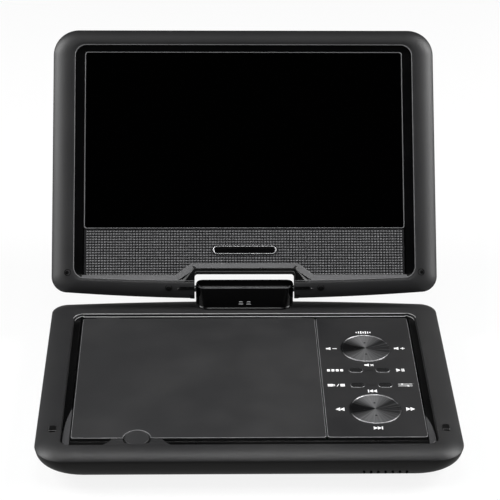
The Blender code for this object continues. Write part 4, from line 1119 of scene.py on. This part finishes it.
def hinge_block():
    """Rings stacked by height: a stadium-ended plan between the front line and the rear line of the
    section, so that the ends round off in plan while the front leans back to a narrow ridge."""
    low, high = case_box("hinge_block")
    axis_z = (TILT[2] - CASE_ORIGIN[2]) / MM
    front = rounded_profile(BLOCK_FRONT, 0.7, 4)
    rows = np.unique(np.concatenate([front[:, 0], np.linspace(-9.2, 4.95, 14)]))
    y_front = np.interp(rows, front[:, 0], front[:, 1])
    rear = rounded_profile(BLOCK_REAR, 1.2, 4)
    y_rear = np.interp(rows, rear[:, 0], rear[:, 1])
    rings = []
    for z, near, far in zip(rows, y_front, y_rear):
        trim = max(0.0, (z - 3.6) * 0.35)
        radius = min(8.6, (far - near) / 2 - 0.05)
        rect = (low[0] + trim, high[0] - trim, HINGE_Y + near, HINGE_Y + far)
        rings.append(at(outline(rect, radius, min(radius, 5.0)), axis_z + z))
    rings.append(at(moved_in(rings[-1][:, :2], 0.8), axis_z + 5.1))
    mesh = loft("hinge_block_cover", rings)
    cutters = [new_mesh("pin_room", *[part for part in side_bore(sign * 31.0, axis_z)]) for sign in (-1, 1)]
    mesh = carve(mesh, cutters)
    # Painted highlight along the block's front ridge.
    mark_painted_highlight(mesh, axis_z + 3.6, axis_z + 4.25)
    add_piece("hinge_block_cover", mesh, "swivel", GLOSS, ["hinge_block"])
    # Faint grey printed arcs on the block's front, glowing a little; the lower row, at height -6.4, copies the
    # upper one as a painted reflection in the gloss.
    for side in (-1, 1):
        for index, height in enumerate((-6.4, -5.0)):
            half = 1.5 - 0.3 * index
            turn = np.linspace(0.15, 0.85, 9) * math.pi
            arc_x = side * 2.4 + half * np.cos(turn)
            arc_z = axis_z + height + 0.35 * np.sin(turn)
            face = HINGE_Y - 8.78 + 0.26 * (height + 6.4)
            line = np.stack([arc_x, np.full(9, face - 0.06), arc_z], 1)
            rings = [line + np.array([0.0, dy, dz])
                     for dy, dz in ((0, 0.22), (0.12, 0.22), (0.12, -0.22), (0, -0.22))]
            grid = np.stack(rings, 1)
            mark = loft(f"turn_mark_{side}_{index}", list(grid))
            place = "left" if side < 0 else "right"
            add_piece(f"turn_mark_{place}_{index + 1}", mark, "swivel", FAINT_INK, weighted=False)


def side_bore(x, z, radius=2.3, half=9.0):
    """Points and faces of a round cutter along X."""
    turn = np.linspace(0, 2 * math.pi, 32, endpoint=False)
    ring = np.stack([np.zeros(32), HINGE_Y + radius * np.cos(turn), z + radius * np.sin(turn)], 1)
    points = np.concatenate([ring + (x - half, 0, 0), ring + (x + half, 0, 0)])
    ends = np.arange(32)
    return points, [ring_faces(2, 32), ends[::-1][None], (ends + 32)[None]]


# ---------------------------------------------------------------- lid

def lid_ring(plan, n):
    """A case-frame plan seen in the lid frame: h is the depth less y."""
    return np.column_stack([plan[:, 0], DEPTH - plan[:, 1], np.full(len(plan), n)])


def lid_rings(pairs):
    """Each flat loop bent to the lid's outline at its own height."""
    return [lid_ring(ring[:, :2], ring[0, 2]) for ring in pairs]


def notch_cutter(grow=0.0):
    """The gap in the lid that the hinge block stands in, with its upper corners rounded."""
    plan = outline((-NOTCH_HALF - grow, NOTCH_HALF + grow, -8.0, NOTCH_TOP + grow), 0.5, 1.8)
    points, faces = prism(plan, -20.0, 20.0)
    return new_mesh("notch", points, faces, in_lid)


def lid_rim():
    """The lid's rim: plan loops from the inner to the outer edge, raised by the pillow curve."""
    rings = [at(rim_plan(0.004, LID_INNER, 7.0, 2.0), LID_OUTLINE - 0.3)]
    rings += rim_rings(LID_INNER, 7.0, 2.0, LID_OUTLINE)
    edge = LID_OUTLINE + float(pillow(0.97))
    profile = rounded_profile([(-0.35, edge), (0.2, edge - 0.05), (0.35, edge - 1.0)], 0.3, 4)
    rings += [at(outline(shrunk(LID_INNER, inset), 7.0, 7.0, 2.0), n) for inset, n in profile]
    rings.append(at(rim_plan(0.8, LID_INNER, 7.0, 2.0), LID_OUTLINE + 1.2))
    rings.append(at(rim_plan(0.14, LID_INNER, 7.0, 2.0), LID_OUTLINE - 0.3))
    mesh = loft("lid_rim", lid_rings(rings), closed=True, placed=in_lid)
    add_piece("lid_rim", carve(mesh, [notch_cutter()]), "lid", LID, ["lid_front_bezel"])


def inner_lips():
    """Thin lines painted light as highlights on small rounded edges: one round the lid rim's inner edge, one along
    the rear of the base's.
    """
    top = LID_OUTLINE + float(pillow(0.97))
    # A light grey painted highlight round the lid rim's inner edge.
    levels = ((0.12, -0.6), (0.12, 0.04), (0.3, 0.10), (0.5, 0.0), (0.5, -0.6))
    rings = [at(outline(shrunk(LID_INNER, inset), 7.0, 7.0, 2.0), top + n) for inset, n in levels]
    lip = loft("lid_rim_lip", lid_rings(rings), closed=True, placed=in_lid)
    add_piece("lid_rim_lip", carve(lip, [notch_cutter()]), "lid", CUT_EDGE_AND_HIGHLIGHT)
    turn = np.linspace(0, math.pi / 2, 10)
    x_end, y_end, radius = RIM_INNER[1] - 0.1, RIM_INNER[3] - 0.1, 6.0
    right = np.stack([x_end - radius + radius * np.cos(turn), y_end - radius + radius * np.sin(turn)], 1)
    line = np.concatenate([right, (right * (-1, 1))[::-1]])
    height = float(pillow(0.97))
    fade = np.minimum(1.0, np.concatenate([turn, turn[::-1]]) / 0.9)
    side = (line - (0.0, y_end - radius - 2.0))
    side /= np.linalg.norm(side, axis=1)[:, None]
    inward = np.where(np.abs(line[:, :1]) > x_end - radius, -side, np.array([(0.0, -1.0)]))
    # Two pale lines along the rear of the base's rim, painted highlights on its stepped inner edge.
    for name, gap, drop in (("base_rim_lip", 0.0, 0.02), ("base_step_lip", 1.0, 1.55)):
        rows = []
        for reach, rise in ((0.0, -0.3), (0.0, 0.0), (0.22, 0.08), (0.45, 0.0), (0.45, -0.3)):
            place = line + inward * (gap + reach * np.maximum(fade, 0.2)[:, None])
            rows.append(np.column_stack([place, np.full(len(line), height - drop + rise)]))
        add_piece(name, loft(name, list(np.stack(rows, 1))), "base", PAINTED_LIP_HIGHLIGHT)


def screen_surround():
    """The recess between the rim and the window: facets that slope in from the rim to the screen."""
    window = (-100.35, 100.35, DEPTH - 156.95, DEPTH - TRIM_HIGH + 0.3)
    top = LID_OUTLINE + float(pillow(0.97)) - 0.55
    rings = [at(outline(shrunk(LID_INNER, 0.1), 7.0, 7.0, 2.0), top),
             at(outline(shrunk(LID_INNER, 0.9), 6.6, 6.6, 1.8), top - 0.12),
             at(outline(shrunk(window, -0.5), 1.8, 1.8), FACE_N + 0.22),
             at(outline(shrunk(window, -0.12), 1.5, 1.5), FACE_N + 0.12),
             at(outline(window, 1.4, 1.4), FACE_N - 0.6),
             at(outline(window, 1.4, 1.4), FACE_N - 1.6),
             at(outline(shrunk(LID_INNER, -0.3), 7.0, 7.0, 2.0), FACE_N - 1.6)]
    mesh = loft("screen_surround", lid_rings(rings), closed=True, placed=in_lid)
    add_piece("screen_surround", carve(mesh, [notch_cutter()]), "lid", GLOSS)


def hood_loop(inset):
    """The hood's four-cornered outline in (x, h), moved in by `inset` at its top and slanted sides."""
    slope = (HOOD_TOP - TRIM_LOW) / (HOOD_HALF_FOOT - HOOD_HALF_TOP)
    sideways = inset * math.hypot(1, slope) / slope
    top = HOOD_TOP - inset
    foot = 5.2
    half = HOOD_HALF_FOOT - sideways

    def half_at(h):
        return half - (h - TRIM_LOW) / slope
    return np.array([(-half_at(foot), foot), (half_at(foot), foot),
                     (half_at(top), top), (-half_at(top), top)])


def soft_polygon(corners, radius, steps=5):
    """A closed polygon with each corner eased by a quadratic curve."""
    corners = np.asarray(corners, float)
    around = np.concatenate([corners[-1:], corners, corners[:1]])
    return rounded_profile(around, radius, steps)[1:-1]


def lid_hood():
    """The raised surround over the notch: a sloped border up to a flat plateau."""
    levels = ((0.0, FACE_N - 0.8), (0.0, FACE_N + 0.05), (HOOD_TRIM, PLATEAU_N - 0.12),
              (HOOD_TRIM + 0.5, PLATEAU_N))
    rings = [at(soft_polygon(hood_loop(inset), 0.7), n) for inset, n in levels]
    mesh = loft("lid_hood", rings, placed=in_lid)
    add_piece("lid_hood", carve(mesh, [notch_cutter()]), "lid", LINER_AND_PAINTED_SHADE)


def bottom_trim():
    """The sloped strip under the grille, a light grey that stands for a painted highlight on the facet. It is swept
    from left to right between a lower and an
    upper line in (x, h): straight along the bottom with the rim's slight bow, then up, over and down the
    hood. Across it, n falls from the rim's height to the grille's."""
    half = LID_INNER[1]

    def bottom(x):
        return TRIM_LOW + 0.15 + BOTTOM_BOW * (x / half) ** 2
    foot, top = HOOD_HALF_FOOT, HOOD_HALF_TOP
    run = np.linspace(-104.5, -foot, 24)
    run_in = np.linspace(-100.6, -foot - 0.9, 24)
    climb = np.linspace(0, 1, 8)[1:]
    low_half = np.stack([run, bottom(run)], 1)
    high_half = np.stack([run_in, np.full(24, TRIM_HIGH)], 1)
    low_rise = low_half[-1] + (np.array([-top + 3.2, HOOD_TOP - HOOD_TRIM]) - low_half[-1]) * climb[:, None]
    high_rise = high_half[-1] + (np.array([-top, HOOD_TOP]) - high_half[-1]) * climb[:, None]
    lower = np.concatenate([low_half, low_rise])
    upper = np.concatenate([high_half, high_rise])
    lower = np.concatenate([lower, (lower * (-1, 1))[::-1]])
    upper = np.concatenate([upper, (upper * (-1, 1))[::-1]])
    high_n, low_n = PLATEAU_N - 0.25, FACE_N + 0.14
    across = ((0.0, -0.5), (0.0, 0.05), (0.05, 0.16), (0.12, 0.12), (0.94, 0.10), (1.0, 0.0), (1.0, -0.5))
    rings = []
    for share, raised in across:
        line = lower + (upper - lower) * share
        n = high_n + (low_n - high_n) * share + raised
        rings.append(np.column_stack([line, np.full(len(line), n)]))
    grid = np.stack(rings, 1)
    mesh = loft("bottom_trim", list(grid), placed=in_lid)
    add_piece("bottom_trim", mesh, "lid", TRIM_AND_PAINTED_HIGHLIGHT)


def lid_back():
    """The rear cover: a quarter ellipse from the parting line round to the flat back, hollow inside."""
    angle = np.linspace(0, math.pi / 2, 22)

    def ring(turn, wall):
        inset = 0.1 + (LID_BACK_INSET - 0.1) * (1 - math.cos(turn)) + wall
        rect = shrunk((-HALF_WIDTH, HALF_WIDTH, 0.0, DEPTH), inset)
        n = 4.2 - (LID_THICKNESS - wall) * math.sin(turn)
        return at(outline(rect, FRONT_RADIUS - wall / 2, REAR_RADIUS - wall / 2, REAR_BOW), n)
    outer = [ring(turn, 0.0) for turn in angle]
    centre = outer[-1][:, :2] * (0.86, 0.86) + (0.0, DEPTH * 0.07)
    outer += [at(outer[-1][:, :2] * (0.93, 0.93) + (0.0, DEPTH * 0.035), 4.2 - LID_THICKNESS)]
    outer += [at(centre, 4.2 - LID_THICKNESS), at(centre * 0.995 + (0.0, 0.4), 4.5 - LID_THICKNESS)]
    inner = [ring(turn, 1.8) for turn in angle[::3]]
    mesh = loft("lid_back_shell", lid_rings(inner[::-1] + outer), placed=in_lid)
    add_piece("lid_back_shell", carve(mesh, [notch_cutter()]), "lid", LID, ["lid_back_cover"])
    wall = outline((-NOTCH_HALF - 3.2, NOTCH_HALF + 3.2, 1.2, NOTCH_TOP + 3.0), 1.0, 2.4)
    block = loft("notch_lining", [at(wall, -5.8), at(wall, 6.2)], placed=in_lid)
    add_piece("notch_lining", carve(block, [notch_cutter(), lid_pin_bore()]), "lid", LINING)


def lid_pin_bore():
    """A round cutter along X at the tilt axis, through the notch's cheeks."""
    turn = np.linspace(0, 2 * math.pi, 32, endpoint=False)
    ring = np.stack([np.zeros(32), DEPTH - HINGE_Y + 2.3 * np.cos(turn), 2.3 * np.sin(turn)], 1)
    points = np.concatenate([ring + (-50, 0, 0), ring + (50, 0, 0)])
    ends = np.arange(32)
    return new_mesh("pin_bore", points, [ring_faces(2, 32), ends[::-1][None], (ends + 32)[None]], in_lid)


def screen_glass():
    """The glass, and the cut edge round it, in a light grey that is partly the edge's own colour and partly a
    painted highlight along the window's border.
    """
    low, high = lid_box("lcd_panel")
    rect = (low[0], high[0], low[1], high[1])
    band = 0.5
    glass = [outline(shrunk(rect, band), 1.0, 1.2)]
    mesh = plate("screen_glass", glass, FACE_N - 1.2, FACE_N - 0.02, 0.12, in_lid)
    add_piece("screen_glass", mesh, "lid", GLASS, ["lcd_panel"])
    profile = rounded_profile([(0.0, FACE_N - 1.2), (0.0, FACE_N + 0.08), (band - 0.05, FACE_N + 0.05),
                               (band - 0.05, FACE_N - 1.2)], 0.15, 3)
    rings = [at(outline(shrunk(rect, inset), 1.4, 1.6), n) for inset, n in profile]
    add_piece("screen_edge", loft("screen_edge", rings, closed=True, placed=in_lid), "lid", CUT_EDGE_AND_HIGHLIGHT)


def grille():
    """The speaker grille: a grid over (x, h) whose lower edge steps up behind the hood, raised into
    rows of rounded dots by the product of two raised cosines, with the dots' tops marked by `edge` for a painted
    highlight."""
    low, high = lid_box("grille_panel")
    step = DOT_PITCH / 7
    x = np.arange(low[0] + 0.1, high[0] - 0.05, step)
    bottom = np.where(np.abs(x) < HOOD_HALF_FOOT - 4.0, NOTCH_TOP + 1.8, low[1])
    rows = int((high[1] - low[1]) / step)
    share = np.linspace(0, 1, rows)[:, None]
    h = bottom + (high[1] - 0.25 - bottom) * share
    across = np.repeat(x[None], rows, 0)
    wave = (1 + np.cos(2 * math.pi * across / DOT_PITCH)) * (1 + np.cos(2 * math.pi * h / DOT_ROW)) / 4
    dome = np.clip(wave * 1.7 - 0.25, 0, 1)
    border = np.minimum(np.minimum(across - x[0], x[-1] - across), high[1] - 0.25 - h)
    badge_low, badge_high = lid_box("badge_plate")
    middle = (badge_low + badge_high) / 2
    reach = np.abs(across - middle[0]) - (badge_high[0] - badge_low[0]) / 2 + 2.7
    from_badge = np.hypot(np.clip(reach, 0, None), h - middle[1])
    dome = np.where((border > 0.8) & (from_badge > 3.3), dome, 0.0)
    n = FACE_N - 0.35 + DOT_HEIGHT * dome
    top = np.stack([across, h, n], -1)
    under = top.copy()
    under[..., 2] = FACE_N - 1.2
    count = top.shape[1]
    index = np.arange(rows * count).reshape(rows, count)
    quads = np.stack([index[:-1, :-1], index[:-1, 1:], index[1:, 1:], index[1:, :-1]], -1).reshape(-1, 4)
    ring = np.concatenate([index[0], index[1:, -1], index[-1, -2::-1], index[-2:0, 0]])
    skirt = under.reshape(-1, 3)[ring]
    points = np.concatenate([top.reshape(-1, 3), skirt])
    low_ring = np.arange(len(ring)) + rows * count
    walls = np.stack([ring, low_ring, np.roll(low_ring, -1), np.roll(ring, -1)], 1)
    mesh = new_mesh("speaker_grille", points, [quads, walls, low_ring[::-1][None]], in_lid, sharp=60.0)
    # The dots' tops take the painted highlight colour.
    attribute = mesh.attributes.new("edge", "FLOAT", "POINT")
    attribute.data.foreach_set("value", np.concatenate([dome.ravel(), np.zeros(len(ring))]).astype(np.float32))
    add_piece("speaker_grille", mesh, "lid", GRILLE, ["grille_panel"], weighted=False)


def badge():
    """A blank pill badge: a half-round bright frame about a slightly crowned dark face."""
    low, high = lid_box("badge_plate")
    x, h = (low[0] + high[0]) / 2, (low[1] + high[1]) / 2
    half_long, half_wide = (high[0] - low[0]) / 2, (high[1] - low[1]) / 2
    turn = np.linspace(0, math.pi, 9)
    frame_rings = [at(pill(x, h, half_long, half_wide), FACE_N - 0.9)]
    frame_rings += [at(pill(x, h, half_long - 0.4 + 0.4 * math.cos(t), half_wide - 0.4 + 0.4 * math.cos(t)),
                       FACE_N + 0.25 + 0.35 * math.sin(t)) for t in turn]
    frame_rings.append(at(pill(x, h, half_long - 0.8, half_wide - 0.8), FACE_N - 0.9))
    mesh = loft("badge_frame", frame_rings, closed=True, placed=in_lid)
    add_piece("badge_frame", mesh, "lid", CHROME, ["badge_plate"])
    insets = np.linspace(0.82, half_wide - 0.3, 8)
    crown = FACE_N + 0.1 + 0.2 * (1 - ((half_wide - insets) / half_wide) ** 2)
    rings = [at(pill(x, h, half_long - 0.82, half_wide - 0.82), FACE_N - 0.8)]
    rings += [at(pill(x, h, half_long - inset, half_wide - inset), n) for inset, n in zip(insets, crown)]
    add_piece("badge_face", loft("badge_face", rings, placed=in_lid), "lid", GLOSS)


def screw_plugs():
    """A dark plug over each lid screw: a low dome in a sharp-edged rim, square to the screen."""
    for index in range(4):
        name = f"lid_screw_plug_{index + 1}"
        low, high = lid_box(name)
        x, h = (low[0] + high[0]) / 2, (low[1] + high[1]) / 2
        share = min(h / (DEPTH - LID_INNER[3]), (HALF_WIDTH - abs(x)) / (HALF_WIDTH - LID_INNER[1]))
        surface = LID_OUTLINE + float(pillow(min(share, 1.0)))
        turn = np.linspace(0, math.pi / 2, 7)[:-1]
        dome = np.stack([1.5 * np.cos(turn), surface - 0.25 + 0.3 * np.sin(turn)], 1)
        profile = np.concatenate([[(2.1, surface - 1.4), (2.1, surface + 0.1), (1.85, surface + 0.18),
                                   (1.6, surface - 0.3)], dome])
        add_piece(f"{name}_cap", turned(name, (x, h, 0.0), profile, sides=36, placed=in_lid), "lid", LINING,
                  [name])


# ---------------------------------------------------------------- nodes shown as they are

def finish_nodes():
    """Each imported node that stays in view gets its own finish."""
    finishes = {
        STEEL: ["spindle_motor", "front_guide_rod", "rear_guide_rod", "sled_motor", "swivel_bearing", "lead_screw",
                "door_hinge_pin_left", "door_hinge_pin_right", "usb_socket", "swivel_shaft", "tilt_pin_left",
                "tilt_pin_right", "lid_speaker_left", "lid_speaker_right", "hinge_bracket_left",
                "hinge_bracket_right", "case_screw_front_left", "case_screw_front_right", "case_screw_rear_left",
                "case_screw_rear_right"],
        CASE: ["disc_deck", "door_latch", "spindle_hub", "pickup_sled", "volume_pad_pivot", "playback_pad_pivot"],
        GLOSS: ["dc_socket", "headphone_socket", "card_slot"],
        BOARD: ["key_board", "main_board"],
        SLEEVE: ["battery_pack"],
    }
    for finish, names in finishes.items():
        for name in names:
            mesh = frame["nodes"][name].data
            mesh.materials.clear()
            mesh.materials.append(finish)


# ---------------------------------------------------------------- room, lights and camera

FLOOR_HALF = 4.0
CAMERA_PLACE = (-25.787, -828.975, 601.561)
CAMERA_PITCH = math.radians(29.43)
CAMERA_YAW = math.radians(1.665)
CAMERA_ROLL = math.radians(0.742)
CAMERA_LENS = 133.0


def floor():
    """A pale sheet, flat but for a faint roll, under the player."""
    u = np.linspace(-FLOOR_HALF, FLOOR_HALF, 41)
    x, y = np.meshgrid(u, u)
    far = np.hypot(x, y)
    z = -0.0002 - 0.00001 * far
    points = np.stack([x, y, z], -1).reshape(-1, 3)
    index = np.arange(41 * 41).reshape(41, 41)
    quads = np.stack([index[:-1, :-1], index[:-1, 1:], index[1:, 1:], index[1:, :-1]], -1).reshape(-1, 4)
    mesh = new_mesh("floor", points, [quads], placed=np.asarray, outward=False)
    material, tree, shader = blank_material("pale_paper")
    place = tree.nodes.new("ShaderNodeTexCoord").outputs["Object"]
    cloud = spread(tree, noise(tree, place, 3.0, 2.0), 0.3, 0.7, 0.985, 1.0)
    shade = node(tree, "ShaderNodeHueSaturation", {"Value": cloud, "Color": (0.14, 0.14, 0.14, 1.0)})
    tree.links.new(shade.outputs[0], shader.inputs["Base Color"])
    shader.inputs["Roughness"].default_value = 0.9
    shader.inputs["Specular IOR Level"].default_value = 0.0
    depth = node(tree, "ShaderNodeSeparateXYZ", {0: place}).outputs["Y"]
    behind = spread(tree, depth, -0.160, -0.10, 0.02, 0.34)
    ray = tree.nodes.new("ShaderNodeLightPath").outputs["Is Camera Ray"]
    level = node(tree, "ShaderNodeMix", {0: ray, 2: behind, 3: 0.86}, data_type="FLOAT").outputs[0]
    glow = node(tree, "ShaderNodeCombineColor", {0: level, 1: level, 2: level}).outputs[0]
    tree.links.new(glow, shader.inputs["Emission Color"])
    shader.inputs["Emission Strength"].default_value = 1.0
    mesh.materials.append(material)
    sheet = bpy.data.objects.new("floor", mesh)
    bpy.context.scene.collection.objects.link(sheet)


def backdrop():
    """A pale world for what the camera sees directly, and a dim one for what the player reflects."""
    world = bpy.data.worlds.new("studio")
    bpy.context.scene.world = world
    world.use_nodes = True
    tree = world.node_tree
    tree.nodes.clear()
    seen = node(tree, "ShaderNodeBackground", {"Color": (0.93, 0.93, 0.93, 1.0), "Strength": 1.0})
    felt = node(tree, "ShaderNodeBackground", {"Color": (0.9, 0.95, 1.0, 1.0), "Strength": 0.03})
    ray = tree.nodes.new("ShaderNodeLightPath").outputs["Is Camera Ray"]
    blend = node(tree, "ShaderNodeMixShader", {0: ray, 1: felt.outputs[0], 2: seen.outputs[0]})
    target = tree.nodes.new("ShaderNodeOutputWorld")
    tree.links.new(blend.outputs[0], target.inputs["Surface"])


def soft_box(name, place, aim, size, power):
    """A rectangular area light at a place, facing its aim."""
    light = bpy.data.lights.new(name, "AREA")
    light.shape = "RECTANGLE"
    light.size, light.size_y = size
    light.energy = power
    lamp = bpy.data.objects.new(name, light)
    bpy.context.scene.collection.objects.link(lamp)
    lamp.location = place
    away = np.array(place, float) - np.array(aim, float)
    away /= np.linalg.norm(away)
    across = np.cross((0.0, 1.0, 0.0) if abs(away[2]) > 0.9 else (0.0, 0.0, 1.0), away)
    across /= np.linalg.norm(across)
    up = np.cross(away, across)
    lamp.matrix_world = Matrix([[*row, p] for row, p in zip(np.stack([across, up, away], 1), place)]
                               + [[0.0, 0.0, 0.0, 1.0]])
    return lamp


def lights():
    """One light overhead, a narrow one in front, one beyond each side and one high on each side."""
    soft_box("overhead", (0.0, -0.05, 1.25), (0.0, -0.05, 0.0), (0.9, 0.5), 1.0)
    key = soft_box("front_key", (0.0, -0.22, 0.75), (0.0, -0.115, 0.02), (0.34, 0.12), 0.085)
    key.data.spread = math.radians(38)
    soft_box("left_wall", (-1.0, -0.38, 0.50), (0.0, 0.0, 0.08), (0.7, 0.5), 4.2)
    soft_box("right_wall", (1.05, -0.30, 0.46), (0.0, 0.0, 0.08), (0.5, 0.4), 4.0)
    for side, power in ((-1, 8.6), (1, 9.2)):
        place = (side * 0.85, 0.05, 0.75)
        soft_box(f"high_side_{(side + 3) // 2}", place, (0.0, 0.0, 0.0), (0.3, 0.6), power)


def camera():
    """The camera's axes from pitch below the horizon, yaw to the right and roll."""
    sin, cos = math.sin, math.cos
    forward = np.array([sin(CAMERA_YAW) * cos(CAMERA_PITCH), cos(CAMERA_YAW) * cos(CAMERA_PITCH),
                        -sin(CAMERA_PITCH)])
    right = np.array([cos(CAMERA_YAW), -sin(CAMERA_YAW), 0.0])
    up = np.cross(right, forward)
    right, up = (right * cos(CAMERA_ROLL) + up * sin(CAMERA_ROLL), up * cos(CAMERA_ROLL) - right * sin(CAMERA_ROLL))
    lens = bpy.data.cameras.new("camera")
    lens.lens = CAMERA_LENS
    lens.sensor_width = 36.0
    lens.clip_end = 50.0
    eye = bpy.data.objects.new("camera", lens)
    bpy.context.scene.collection.objects.link(eye)
    axes = np.stack([right, up, -forward], 1)
    eye.matrix_world = Matrix([[*row, p] for row, p in zip(axes, in_case(CAMERA_PLACE))] + [[0.0, 0.0, 0.0, 1.0]])
    bpy.context.scene.camera = eye
    bpy.context.scene.view_settings.view_transform = "Standard"


# ---------------------------------------------------------------- everything, in order

base_rim()
channel_painted_shade()
button_land()
corner_ledges()
base_belly()
control_panel()
disc_door()
open_button()
rocker_pads()
small_keys()
control_marks()
bumpers_and_feet()
port_details()
power_switch()
disc_drive_details()
hinge_block()
lid_rim()
inner_lips()
screen_surround()
lid_hood()
bottom_trim()
lid_back()
screen_glass()
grille()
badge()
screw_plugs()
finish_nodes()
floor()
backdrop()
lights()
camera()
